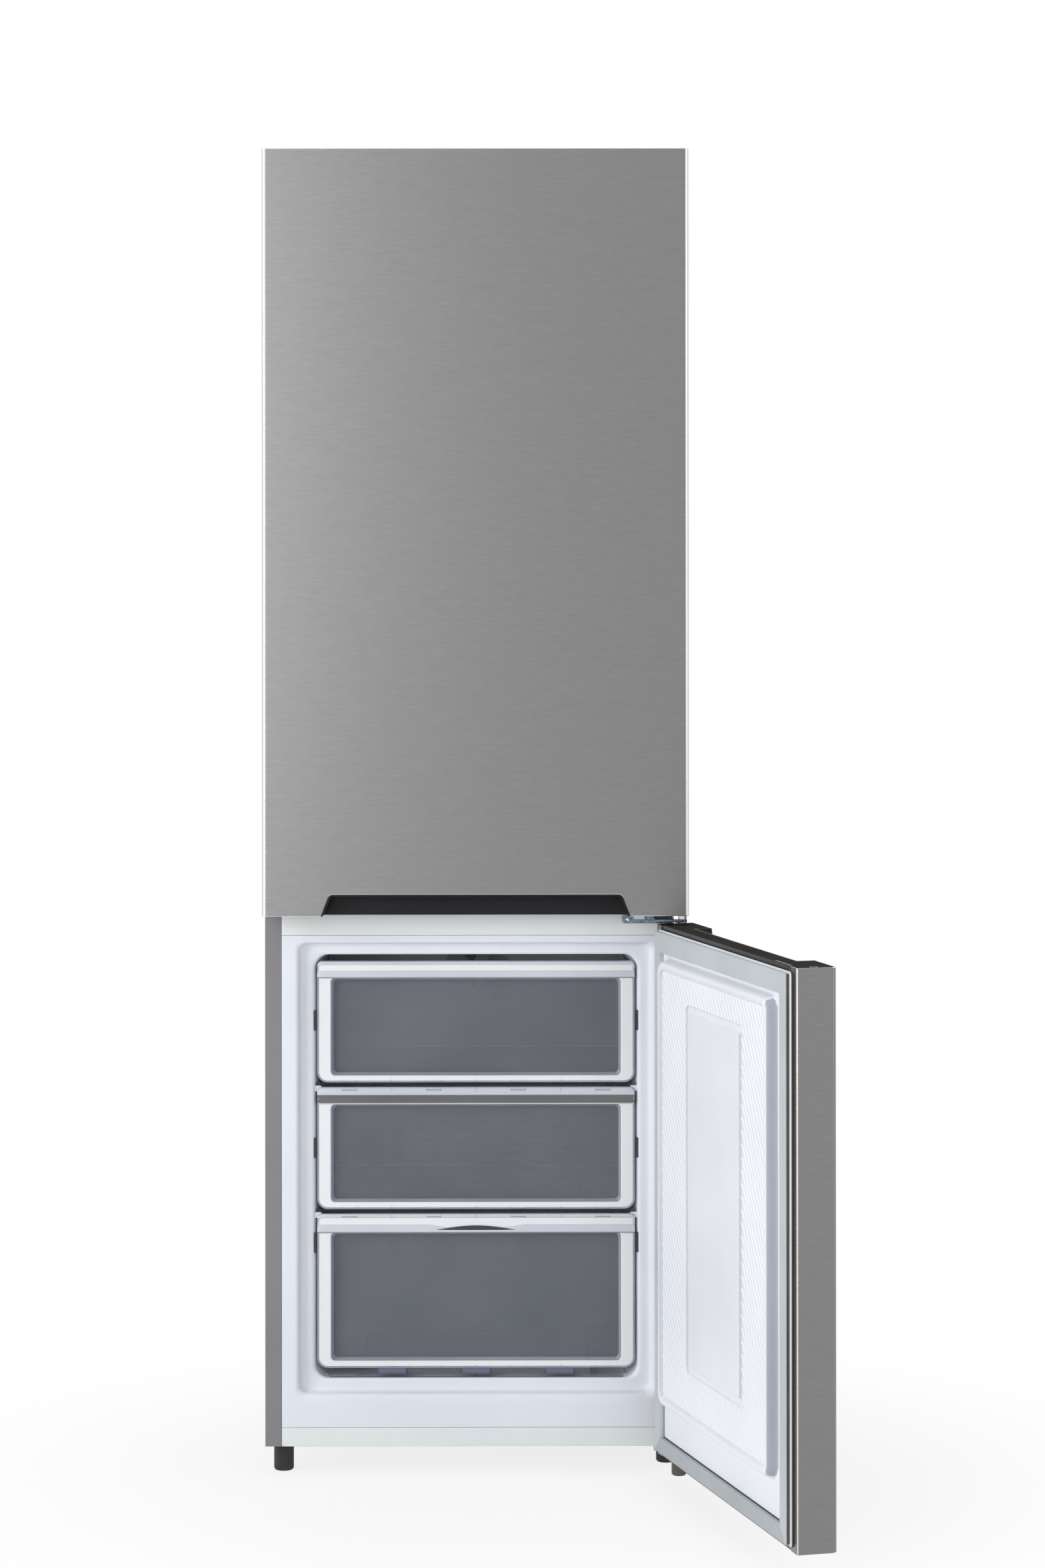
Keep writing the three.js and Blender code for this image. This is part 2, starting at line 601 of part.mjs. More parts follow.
// A folded sheet in front of the compressor room and over it.
function roomPanel() {
  const front = roomFront + SEAT_GAP;
  const top = roomTop - SEAT_GAP;
  const wall = block(-innerHalf, innerHalf, front, front + WRAP_SHEET, baseTop + SEAT_GAP, top);
  const roof = block(-innerHalf, innerHalf, front, cabinetBack, top - WRAP_SHEET, top);
  return join(wall, roof);
}

function buildShell(group) {
  const railBack = cabinetFront + RAIL_DEPTH;
  const railPlan = [-flangeHalf, flangeHalf, cabinetFront, railBack];
  piece(group, 'cabinet_wrap', cabinetWrap(), 'paint');
  piece(group, 'cabinet_foam', cabinetFoam(), 'foam');
  piece(group, 'fridge_liner', fridgeLiner(), 'liner');
  piece(group, 'freezer_liner', freezerLiner(), 'liner');
  piece(group, 'middle_rail', block(...railPlan, middleRailBottom, middleRailTop), 'rail');
  piece(group, 'bottom_rail', block(...railPlan, CABINET_BASE, bottomRailTop), 'rail');
  piece(group, 'back_panel', backPanel(), 'sheet');
  piece(group, 'room_panel', roomPanel(), 'sheet');
}

// ---- Fridge fittings

function glassShelf(top) {
  const half = fridgeHalf - SEAT_GAP;
  const trimBack = shelfFront + SHELF_TRIM_DEPTH;
  const glass = block(-half, half, shelfFront, fridgeBack - SHELF_BACK_GAP, top - SHELF_GLASS, top);
  const trim = slab(
    -half, half, top - SHELF_TRIM_HEIGHT, top + SHELF_TRIM_LIP, SHELF_TRIM_CORNER, shelfFront, trimBack,
  );
  return join(glass, trim);
}

function controlBox() {
  const top = fridgeCeiling - SEAT_GAP;
  const bottom = top - CONTROL_BOX_HEIGHT;
  const half = CONTROL_BOX_WIDTH / 2;
  const back = shelfFront + CONTROL_BOX_DEPTH;
  const housing = slab(-half, half, bottom, top, CONTROL_BOX_CORNER, shelfFront, back);
  const lens = block(
    -LENS_WIDTH / 2, LENS_WIDTH / 2,
    shelfFront + LENS_FRONT, back - LENS_BACK,
    bottom - LENS_DROP, bottom + OVERSHOOT,
  );
  return join(housing, lens);
}

function thermostatKnob() {
  const height = fridgeCeiling - SEAT_GAP - CONTROL_BOX_HEIGHT / 2;
  const back = shelfFront - SEAT_GAP;
  const gripHalf = KNOB_RADIUS - KNOB_GRIP_INSET;
  const disc = rod('y', [0, height], KNOB_RADIUS, back - KNOB_DISC, back, LARGE_ROD_SIDES);
  const grip = block(
    -KNOB_GRIP_WIDTH / 2, KNOB_GRIP_WIDTH / 2,
    back - KNOB_DEPTH, back - KNOB_DISC + OVERSHOOT,
    height - gripHalf, height + gripHalf,
  );
  return join(disc, grip);
}

function airDuct() {
  const back = fridgeBack - SEAT_GAP;
  const front = back - DUCT_DEPTH;
  const half = DUCT_WIDTH / 2;
  const bottom = fridgeFloor + CRISPER_COVER_HEIGHT + DUCT_LIFT;
  const top = fridgeCeiling - CONTROL_BOX_HEIGHT;
  const panel = slab(-half, half, bottom, top, DUCT_CORNER, front, back);
  const ventHalf = half - DUCT_VENT_INSET;
  const ventPlan = [-ventHalf, ventHalf, front - OVERSHOOT, back - DUCT_DEPTH / 2];
  const vents = Object.values(SHELF_HEIGHTS).map((lift) => {
    const height = fridgeFloor + lift + DUCT_VENT_LIFT;
    return block(...ventPlan, height, height + DUCT_VENT_HEIGHT);
  });
  return cut(panel, ...vents);
}

function crisperDrawer() {
  const half = fridgeHalf - FRIDGE_CORNER;
  const front = shelfFront + CRISPER_LIP;
  const floor = fridgeFloor + SEAT_GAP;
  const coverBottom = fridgeFloor + CRISPER_COVER_HEIGHT - SHELF_TRIM_HEIGHT;
  const top = coverBottom - SEAT_GAP - CRISPER_HEADROOM;
  const bin = tub(-half, half, front, fridgeBack - SHELF_BACK_GAP, floor, top, CRISPER_WALL);
  const lip = block(-half, half, shelfFront, front + OVERSHOOT, top - CRISPER_LIP, top);
  const hollowHalf = half - CRISPER_LIP_WALL;
  const hollow = block(
    -hollowHalf, hollowHalf,
    shelfFront + CRISPER_LIP_WALL, front,
    top - CRISPER_LIP - OVERSHOOT, top - CRISPER_LIP_WALL,
  );
  return join(bin, cut(lip, hollow));
}

function buildFridgeFittings(group) {
  for (const [place, lift] of Object.entries(SHELF_HEIGHTS)) {
    piece(group, `shelf_${place}`, glassShelf(fridgeFloor + lift), 'glass');
  }
  piece(group, 'crisper_cover', glassShelf(fridgeFloor + CRISPER_COVER_HEIGHT), 'glass');
  piece(group, 'crisper_drawer', crisperDrawer(), 'clear');
  piece(group, 'air_duct', airDuct(), 'whitePlastic');
  piece(group, 'control_box', controlBox(), 'whitePlastic');
  piece(group, 'thermostat_knob', thermostatKnob(), 'rail');
}

// ---- Freezer fittings

// What lies over the hump reaches the rear cover, and what lies lower ends before the hump.
function backStop(bottom) {
  return bottom > humpTop + LEDGE_HEIGHT ? rearCoverFront : humpFront;
}

function deckBack(drawer) {
  return backStop(drawer.bottom - SHELF_GLASS - LEDGE_HEIGHT) - SEAT_GAP;
}

function freezerShelf(drawer) {
  const half = freezerHalf - SEAT_GAP;
  const top = drawer.bottom - SEAT_GAP;
  return block(-half, half, drawerFront + SLIDE_GAP, deckBack(drawer), top - SHELF_GLASS, top);
}

function rearCover() {
  const half = freezerHalf - SEAT_GAP;
  const foot = humpTop + SEAT_GAP;
  const back = rearCoverFront + REAR_COVER;
  const through = [rearCoverFront - OVERSHOOT, back + OVERSHOOT];
  const panel = slab(-half, half, foot, freezerCeiling - SEAT_GAP, FREEZER_CORNER, rearCoverFront, back);
  const slotHalf = VENT_SLOT_WIDTH / 2;
  const slots = [];
  for (let i = 0; i < VENT_SLOTS; i += 1) {
    const height = foot + VENT_SLOT_LIFT + i * VENT_SLOT_PITCH;
    slots.push(block(-slotHalf, slotHalf, ...through, height, height + VENT_SLOT_HEIGHT));
  }
  const fanMouth = rod('y', fanCentre, FAN_RADIUS + FAN_MOUTH_GAP, ...through, LARGE_ROD_SIDES);
  return cut(panel, fanMouth, ...slots);
}

function evaporator() {
  const half = freezerHalf - EVAPORATOR_SIDE_GAP;
  const bottom = humpTop + SEAT_GAP;
  const top = fanCentre[1] - FAN_RADIUS - EVAPORATOR_FAN_GAP;
  const front = rearCoverFront + REAR_COVER + EVAPORATOR_FRONT_GAP;
  const back = freezerBack - SEAT_GAP;
  const pitch = (2 * half) / EVAPORATOR_FINS;
  const gapReach = [front - OVERSHOOT, back - EVAPORATOR_SPINE, bottom - OVERSHOOT, top + OVERSHOOT];
  const gaps = [];
  for (let i = 0; i < EVAPORATOR_FINS; i += 1) {
    const left = -half + i * pitch + FIN_THICKNESS / 2;
    gaps.push(block(left, left + pitch - FIN_THICKNESS, ...gapReach));
  }
  return cut(block(-half, half, front, back, bottom, top), ...gaps);
}

function fanMotor() {
  const can = rod('y', fanCentre, MOTOR_RADIUS, motorFront, freezerBack - SEAT_GAP, LARGE_ROD_SIDES);
  const shaftFront = fanFront + FAN_NOSE + RUNNING_GAP;
  const shaft = rod('y', fanCentre, FAN_SHAFT_RADIUS, shaftFront, motorFront + OVERSHOOT, SMALL_ROD_SIDES);
  return join(can, shaft);
}

function evaporatorFan() {
  const [x, z] = fanCentre;
  const blades = [];
  for (let i = 0; i < FAN_BLADES; i += 1) {
    const length = FAN_RADIUS - FAN_HUB_RADIUS + BLADE_ROOT;
    const blade = new THREE.BoxGeometry(length, BLADE_THICKNESS, BLADE_WIDTH);
    blade.rotateX(THREE.MathUtils.degToRad(BLADE_PITCH));
    blade.translate(FAN_RADIUS - length / 2, 0, 0);
    blade.rotateY((i * 2 * Math.PI) / FAN_BLADES);
    blade.translate(x, (fanFront + fanBack) / 2, z);
    blades.push(solidFrom(blade));
  }
  const hub = rod('y', fanCentre, FAN_HUB_RADIUS, fanFront, fanBack, LARGE_ROD_SIDES);
  const boreRadius = FAN_SHAFT_RADIUS + RUNNING_GAP;
  const bore = rod('y', fanCentre, boreRadius, fanFront + FAN_NOSE, motorFront, SMALL_ROD_SIDES);
  return cut(join(hub, ...blades), bore);
}

function buildFreezerFittings(group) {
  piece(group, 'freezer_shelf_upper', freezerShelf(topDrawer), 'glass');
  piece(group, 'freezer_shelf_lower', freezerShelf(middleDrawer), 'glass');
  piece(group, 'freezer_rear_cover', rearCover(), 'liner');
  piece(group, 'evaporator', evaporator(), 'aluminium');
  piece(group, 'fan_motor', fanMotor(), 'castIron');
  piece(group, 'evaporator_fan', evaporatorFan(), 'whitePlastic');
}

// ---- Freezer drawers

function drawerFace(drawer, band) {
  const back = drawerFront + DRAWER_FRONT_DEPTH;
  const half = drawerHalf;
  const bandBottom = drawer.top - band;
  const face = slab(-half, half, drawer.bottom, drawer.top, DRAWER_CORNER, drawerFront, back);
  const squareTop = block(-half, half, drawerFront, back, bandBottom, drawer.top - DRAWER_TOP_EDGE);
  const windowHalf = half - DRAWER_BORDER;
  const window = slab(
    -windowHalf, windowHalf,
    drawer.bottom + DRAWER_BOTTOM_BORDER, bandBottom,
    WINDOW_CORNER,
    drawerFront - OVERSHOOT, back - DRAWER_WINDOW,
  );
  const pull = slab(
    -PULL_WIDTH / 2, PULL_WIDTH / 2,
    bandBottom - OVERSHOOT, bandBottom + PULL_HEIGHT,
    PULL_CORNER,
    drawerFront + PULL_WALL, back - PULL_BACK_WALL,
  );
  return cut(join(face, squareTop), window, pull);
}

function drawerBasket(drawer) {
  const back = backStop(drawer.bottom) - BASKET_BACK_GAP;
  const top = drawer.top - BASKET_DROP;
  return tub(-basketHalf, basketHalf, basketFront, back, drawer.bottom, top, BASKET_WALL);
}

// Two runners carry the bottom basket on the freezer's floor.
function basketRunners(drawer) {
  const outer = basketHalf - RUNNER_INSET;
  const back = backStop(drawer.bottom) - BASKET_BACK_GAP;
  const heights = [freezerFloor + SEAT_GAP, drawer.bottom + BASKET_WALL / 2];
  return pair(outer - RUNNER_WIDTH, outer, basketFront, back, ...heights);
}

function buildDrawers(group) {
  const drawers = { top: topDrawer, middle: middleDrawer, bottom: bottomDrawer };
  for (const [place, drawer] of Object.entries(drawers)) {
    const runners = place === 'bottom' ? basketRunners(drawer) : [];
    piece(group, `drawer_${place}_basket`, join(drawerBasket(drawer), ...runners), 'clear');
    piece(group, `drawer_${place}_front`, drawerFace(drawer, DRAWER_BANDS[place]), 'clear');
  }
}

// ---- Doors, drawn closed

// The finger recess is a trough with its mouth to the front and to the gap between the doors.
// It is drawn from the door's edge inwards, larger by grow all round, and draws in towards its far side.
function gripTrough(door, grow, front) {
  const half = GRIP_WIDTH / 2 + grow;
  const mouth = door.gripEdge - door.gripInward * Math.abs(grow);
  const deep = door.gripEdge + door.gripInward * (GRIP_HEIGHT + grow);
  const far = half - GRIP_TAPER;
  const outline = polygon([[-half, mouth], [half, mouth], [far, deep], [-far, deep]]);
  return facing(outline, front, GRIP_DEPTH + grow);
}

function gripInsert(door) {
  return cut(gripTrough(door, 0, 0), gripTrough(door, -GRIP_WALL, -OVERSHOOT));
}

// Front and two sides of folded sheet, with lips at the back.
function doorSkin(door) {
  const t = DOOR_SHEET;
  const plan = roundedOutline(-doorHalf, doorHalf, 0, DOOR_THICKNESS, DOOR_BEND_RADIUS);
  const through = [door.bottom - OVERSHOOT, door.top + OVERSHOOT];
  const inside = block(-doorHalf + t, doorHalf - t, t, DOOR_THICKNESS - t, ...through);
  const mouthHalf = doorHalf - t - DOOR_RETURN_LIP;
  const mouth = block(-mouthHalf, mouthHalf, DOOR_THICKNESS / 2, DOOR_THICKNESS + OVERSHOOT, ...through);
  const wide = doorHalf + OVERSHOOT;
  const drop = block(
    -wide, wide, t, DOOR_THICKNESS + OVERSHOOT, door.top - door.drop, door.top + OVERSHOOT,
  );
  const trough = gripTrough(door, SEAT_GAP, -OVERSHOOT);
  return cut(upright(plan, door.bottom, door.top), inside, mouth, drop, trough);
}

// What fills the skin, from z0 to z1.
function doorCore(door, z0, z1) {
  const half = doorHalf - DOOR_SHEET - SEAT_GAP;
  const front = DOOR_SHEET + SEAT_GAP;
  const back = DOOR_THICKNESS - DOOR_SHEET - SEAT_GAP;
  return cut(block(-half, half, front, back, z0, z1), gripTrough(door, SEAT_GAP, -OVERSHOOT));
}

function doorFoam(door) {
  const ends = DOOR_CAP_HEIGHT + SEAT_GAP;
  return doorCore(door, door.bottom + ends, door.top - door.drop - ends);
}

function topCap(door) {
  const top = door.top - door.drop;
  const hole = pinHole(top - PIN_REACH - OVERSHOOT, top + OVERSHOOT);
  return cut(doorCore(door, top - DOOR_CAP_HEIGHT, top), hole);
}

function bottomCap(door) {
  const hole = pinHole(door.bottom - OVERSHOOT, door.bottom + PIN_REACH + OVERSHOOT);
  return cut(doorCore(door, door.bottom, door.bottom + DOOR_CAP_HEIGHT), hole);
}

function pinHole(from, to) {
  return rod('z', [pin.x, pin.y], PIN_RADIUS + RUNNING_GAP, from, to);
}

// The lining's flange lies over the skin's lips and carries the gasket.
function liningFlange(door) {
  const half = doorHalf - GASKET_SIDE_INSET + FLANGE_MARGIN;
  const ends = GASKET_END_INSET - FLANGE_MARGIN;
  const top = door.top - door.drop - ends;
  return slab(-half, half, door.bottom + ends, top, FLANGE_CORNER, DOOR_THICKNESS + SEAT_GAP, doorLinerFace);
}

// A deep rib all round the fridge door's lining, with slots for the bins' lugs.
function fridgeDoorDyke() {
  const half = fridgeHalf - DYKE_CLEARANCE;
  const inner = half - DYKE_WIDTH;
  const bottom = fridgeFloor + DYKE_CLEARANCE;
  const top = fridgeCeiling - DYKE_CLEARANCE;
  const root = doorLinerFace + SEAT_GAP;
  const through = [root - OVERSHOOT, dykeCrest + OVERSHOOT];
  const dyke = slab(-half, half, bottom, top, DYKE_CORNER, root, dykeCrest);
  const hollow = slab(
    -inner, inner,
    bottom + DYKE_WIDTH, top - DYKE_WIDTH,
    DYKE_INNER_CORNER,
    ...through,
  );
  const slots = BINS.flatMap((bin) => {
    const lugBottom = fridgeFloor + bin.lift;
    const heights = [lugBottom - SEAT_GAP, lugBottom + BIN_LUG + SEAT_GAP];
    return pair(inner - OVERSHOOT, inner + BIN_LUG, ...through, ...heights);
  });
  return cut(dyke, hollow, ...slots);
}

// The bin slides in from the back, and its lugs lie in the slots of the rib.
function doorBin(bin) {
  const half = fridgeHalf - DYKE_CLEARANCE - DYKE_WIDTH - SEAT_GAP;
  const front = doorLinerFace + SEAT_GAP;
  const floor = fridgeFloor + bin.lift;
  const lugReach = [front + BIN_WALL, dykeCrest - LUG_SETBACK, floor, floor + BIN_LUG];
  const lugs = pair(half - BIN_WALL / 2, half + BIN_LUG, ...lugReach);
  return join(tub(-half, half, front, front + BIN_REACH, floor, floor + bin.height, BIN_WALL), ...lugs);
}

function freezerDoorLining(door) {
  const half = stepHalf - PANEL_CLEARANCE;
  const bottom = stepBottom + PANEL_CLEARANCE;
  const top = stepTop - PANEL_CLEARANCE;
  const root = doorLinerFace - DOOR_LINER_WALL / 2;
  const crest = drawerFront - PANEL_FRONT_GAP;
  const panel = slab(-half, half, bottom, top, FREEZER_CORNER, root, crest);
  const field = slab(
    -half + PANEL_RIDGE, half - PANEL_RIDGE,
    bottom + PANEL_RIDGE, top - PANEL_RIDGE,
    PANEL_FIELD_CORNER,
    crest - PANEL_FIELD_DROP, crest + OVERSHOOT,
  );
  const padHalf = PANEL_PAD_WIDTH / 2;
  const pad = slopedSlab(
    -padHalf, padHalf,
    bottom + PANEL_PAD_INSET, top - PANEL_PAD_INSET,
    PANEL_FIELD_CORNER,
    crest - 3 * PANEL_FIELD_DROP, crest,
    { rise: PANEL_FIELD_DROP, width: PANEL_PAD_SLOPE },
  );
  return join(liningFlange(door), cut(panel, field), pad);
}

function doorGasket(door) {
  const half = doorHalf - GASKET_SIDE_INSET;
  const bottom = door.bottom + GASKET_END_INSET;
  const top = door.top - door.drop - GASKET_END_INSET;
  const front = doorLinerFace + SEAT_GAP;
  const back = front + GASKET_THICKNESS;
  const inner = half - GASKET_WIDTH;
  const hole = slab(
    -inner, inner,
    bottom + GASKET_WIDTH, top - GASKET_WIDTH,
    GASKET_INNER_CORNER,
    front - OVERSHOOT, back + OVERSHOOT,
  );
  return cut(slab(-half, half, bottom, top, GASKET_CORNER, front, back), hole);
}

function hingedGroup(parent, angle) {
  const turned = new THREE.Group();
  turned.position.set(pin.x, pin.y, 0);
  turned.rotation.z = THREE.MathUtils.degToRad(angle);
  const inner = new THREE.Group();
  inner.position.set(-pin.x, -pin.y, 0);
  turned.add(inner);
  parent.add(turned);
  return inner;
}

function buildDoor(group, door, lining) {
  piece(group, `${door.name}_skin`, doorSkin(door), 'steel');
  piece(group, `${door.name}_foam`, doorFoam(door), 'foam');
  piece(group, `${door.name}_top_cap`, topCap(door), 'cap');
  piece(group, `${door.name}_bottom_cap`, bottomCap(door), 'cap');
  piece(group, `${door.name}_grip`, gripInsert(door), 'cap');
  piece(group, `${door.name}_liner`, lining(door), 'doorLiner');
  piece(group, `${door.name}_gasket`, doorGasket(door), 'gasket');
}

function buildDoors(group) {
  const fridgeDoor = {
    name: 'fridge_door', bottom: fridgeDoorBottom, top: fridgeDoorTop, drop: topCapDrop,
    gripEdge: fridgeDoorBottom, gripInward: 1,
  };
  const freezerDoor = {
    name: 'freezer_door', bottom: FREEZER_DOOR_BOTTOM, top: freezerDoorTop, drop: 0,
    gripEdge: freezerDoorTop, gripInward: -1,
  };
  const upper = hingedGroup(group, 0);
  buildDoor(upper, fridgeDoor, liningFlange);
  piece(upper, 'fridge_door_dyke', fridgeDoorDyke(), 'doorLiner');
  for (const bin of BINS) piece(upper, bin.name, doorBin(bin), 'clear');
  buildDoor(hingedGroup(group, FREEZER_DOOR_REST_ANGLE), freezerDoor, freezerDoorLining);
}

// ---- Hinges

const bracketRight = pin.x + BRACKET_HALF_WIDTH;
const armFront = pin.y - BRACKET_HALF_WIDTH;

function topBracket() {
  const under = cabinetTop + SEAT_GAP;
  const top = under + HINGE_PLATE;
  const left = pin.x - TOP_FOOT_WIDTH;
  const footFront = cabinetFront + TOP_FOOT_SETBACK;
  const footBack = cabinetFront + TOP_FOOT_BACK;
  const armLeft = pin.x - BRACKET_HALF_WIDTH;
  const arm = block(armLeft, bracketRight, armFront, cabinetFront + TOP_ARM_BACK, under, top);
  const foot = block(left, bracketRight, footFront, footBack, under, top);
  const screwPlaces = [
    [left + TOP_SCREW_SIDE, footFront + TOP_SCREW_END],
    [left + TOP_SCREW_SIDE, footBack - TOP_SCREW_END],
    [bracketRight - TOP_SCREW_SIDE, footBack - TOP_SCREW_END],
  ];
  const screws = screwPlaces.map((place) => (
    rod('z', place, SCREW_HEAD_RADIUS, under, top + SCREW_HEAD_HEIGHT, SCREW_SIDES)
  ));
  const peg = rod('z', [pin.x, pin.y], PIN_RADIUS, under - PIN_REACH, under + OVERSHOOT);
  return join(arm, foot, peg, ...screws);
}

function topHingeCover() {
  const under = cabinetTop + SEAT_GAP;
  const front = cabinetFront + HINGE_COVER_SETBACK;
  const back = cabinetFront + TOP_FOOT_BACK + 2 * HINGE_COVER_WALL;
  const left = pin.x - TOP_FOOT_WIDTH - 2 * HINGE_COVER_WALL;
  const inner = under + HINGE_PLATE + SCREW_HEAD_HEIGHT + HINGE_COVER_HEADROOM;
  const plan = roundedOutline(left, cabinetHalf, front, back, HINGE_COVER_CORNER);
  const inside = block(
    left + HINGE_COVER_WALL, bracketRight + SEAT_GAP,
    front - OVERSHOOT, back - HINGE_COVER_WALL,
    under - OVERSHOOT, inner,
  );
  return cut(upright(plan, under, inner + HINGE_COVER_WALL), inside);
}

function middleBracket() {
  const plateBottom = middlePlateTop - MIDDLE_PLATE;
  const back = cabinetFront - SEAT_GAP;
  const flangeFront = back - HINGE_PLATE;
  const arm = block(pin.x - MIDDLE_ARM_WIDTH, bracketRight, armFront, back, plateBottom, middlePlateTop);
  const flange = slab(
    pin.x - MIDDLE_FLANGE_WIDTH, bracketRight,
    plateBottom - MIDDLE_FLANGE_DROP, middlePlateTop + MIDDLE_FLANGE_RISE,
    MIDDLE_FLANGE_CORNER,
    flangeFront, back,
  );
  const collarEnds = [freezerDoorTop + SEAT_GAP, fridgeDoorBottom - SEAT_GAP];
  const pegEnds = [freezerDoorTop - PIN_REACH, fridgeDoorBottom + PIN_REACH];
  const collar = rod('z', [pin.x, pin.y], COLLAR_RADIUS, ...collarEnds, LARGE_ROD_SIDES);
  const peg = rod('z', [pin.x, pin.y], PIN_RADIUS, ...pegEnds);
  const screws = [-1, 1].map((side) => {
    const x = pin.x - SPACER_PLACE + side * SPACER_SCREWS;
    const front = flangeFront - SCREW_HEAD_HEIGHT;
    return rod('y', [x, middlePlateTop], FLANGE_SCREW_RADIUS, front, back - OVERSHOOT, SCREW_SIDES);
  });
  return join(arm, flange, collar, peg, ...screws);
}

function hingeSpacer() {
  const back = cabinetFront - 2 * SEAT_GAP - HINGE_PLATE;
  const height = (freezerDoorTop + fridgeDoorBottom) / 2 + SPACER_LIFT;
  const middle = pin.x - SPACER_PLACE;
  const half = SPACER_WIDTH / 2;
  const heights = [height - SPACER_HEIGHT / 2, height + SPACER_HEIGHT / 2];
  return slab(middle - half, middle + half, ...heights, SPACER_CORNER, back - SPACER_DEPTH, back);
}

function bottomBracket() {
  const armLeft = pin.x - BRACKET_HALF_WIDTH;
  const armBack = cabinetFront + BOTTOM_ARM_BACK;
  const footBack = cabinetFront + RIGHT_FOOT.setback + FOOT_RADIUS + BOTTOM_FOOT_MARGIN;
  const root = bottomArmTop - OVERSHOOT;
  const arm = block(armLeft, bracketRight, armFront, armBack, bottomArmTop - BOTTOM_PLATE, bottomArmTop);
  const foot = block(
    pin.x - BOTTOM_FOOT_WIDTH, bracketRight,
    cabinetFront + BOTTOM_FOOT_SETBACK, footBack,
    root, CABINET_BASE - SEAT_GAP,
  );
  const collarTop = FREEZER_DOOR_BOTTOM - SEAT_GAP;
  const collar = rod('z', [pin.x, pin.y], COLLAR_RADIUS, root, collarTop, LARGE_ROD_SIDES);
  const peg = rod('z', [pin.x, pin.y], PIN_RADIUS, root, FREEZER_DOOR_BOTTOM + PIN_REACH);
  return join(arm, foot, collar, peg);
}

function buildHinges(group) {
  piece(group, 'top_hinge_bracket', topBracket(), 'zinc');
  piece(group, 'top_hinge_cover', topHingeCover(), 'cap');
  piece(group, 'middle_hinge_bracket', middleBracket(), 'zinc');
  piece(group, 'hinge_spacer', hingeSpacer(), 'whitePlastic');
  piece(group, 'bottom_hinge_bracket', bottomBracket(), 'zinc');
}

// ---- Feet, base and rollers

function flutedFoot(x, y, radius, height) {
  const points = [];
  for (let i = 0; i < FOOT_FLUTES * 2; i += 1) {
    const angle = (i * Math.PI) / FOOT_FLUTES;
    const reach = i % 2 ? radius - FLUTE_DEPTH : radius;
    points.push([x + reach * Math.cos(angle), y + reach * Math.sin(angle)]);
  }
  return upright(polygon(points), 0, height);
}

function basePlate() {
  const front = cabinetFront + RAIL_DEPTH + SEAT_GAP;
  const plate = block(-innerHalf, innerHalf, front, cabinetBack, CABINET_BASE, baseTop);
  const earHeights = [ROLLER_RADIUS - EAR_DROP, CABINET_BASE + OVERSHOOT];
  const parts = [plate];
  for (const side of [-1, 1]) {
    const middle = side * (cabinetHalf - ROLLER_SIDE);
    const inner = ROLLER_WIDTH / 2 + ROLLER_SIDE_GAP;
    const outer = inner + EAR_THICKNESS;
    const ears = [[middle - outer, middle - inner], [middle + inner, middle + outer]];
    for (const [x0, x1] of ears) {
      parts.push(block(x0, x1, rollerAxle - EAR_HALF, rollerAxle + EAR_HALF, ...earHeights));
    }
    const reach = (inner + outer) / 2;
    const ends = [middle - reach, middle + reach];
    parts.push(rod('x', [rollerAxle, ROLLER_RADIUS], ROLLER_AXLE_RADIUS, ...ends));
  }
  return join(...parts);
}

function roller(side) {
  const middle = side * (cabinetHalf - ROLLER_SIDE);
  const centre = [rollerAxle, ROLLER_RADIUS];
  const half = ROLLER_WIDTH / 2;
  const through = half + OVERSHOOT;
  return cut(
    rod('x', centre, ROLLER_RADIUS, middle - half, middle + half, LARGE_ROD_SIDES),
    rod('x', centre, ROLLER_AXLE_RADIUS + RUNNING_GAP, middle - through, middle + through),
  );
}

function buildBase(group) {
  const footY = (foot) => cabinetFront + foot.setback;
  const leftX = -cabinetHalf + LEFT_FOOT.side;
  const rightX = cabinetHalf - RIGHT_FOOT.side;
  const leftHeight = CABINET_BASE - SEAT_GAP;
  const rightHeight = bottomArmTop - OVERSHOOT - SEAT_GAP;
  const hingeX = pin.x + HINGE_FOOT_SHIFT;
  const hingeY = pin.y + HINGE_FOOT_SETBACK;
  const hingeHeight = bottomArmTop - BOTTOM_PLATE - SEAT_GAP;
  const leftFoot = flutedFoot(leftX, footY(LEFT_FOOT), FOOT_RADIUS, leftHeight);
  const rightFoot = flutedFoot(rightX, footY(RIGHT_FOOT), FOOT_RADIUS, rightHeight);
  const hingeFoot = flutedFoot(hingeX, hingeY, HINGE_FOOT_RADIUS, hingeHeight);
  piece(group, 'base_plate', basePlate(), 'sheet');
  piece(group, 'roller_left', roller(-1), 'whitePlastic');
  piece(group, 'roller_right', roller(1), 'whitePlastic');
  piece(group, 'front_foot_left', leftFoot, 'foot');
  piece(group, 'front_foot_right', rightFoot, 'foot');
  piece(group, 'hinge_foot', hingeFoot, 'hingeFoot');
}

// ---- Machinery

// The can's profile, as shares of its radius and height.
const CAN_PROFILE = [
  [0, 0], [0.75, 0], [0.97, 0.12], [1, 0.45], [0.97, 0.75], [0.75, 0.94], [0.4, 1], [0, 1],
];

const compressorPlace = { x: COMPRESSOR_OFFSET, y: cabinetBack - ROOM_DEPTH / 2 };
const mountBottom = baseTop + SEAT_GAP + GROMMET_HEIGHT;
const canBottom = mountBottom + MOUNT_PLATE.thickness - OVERSHOOT;

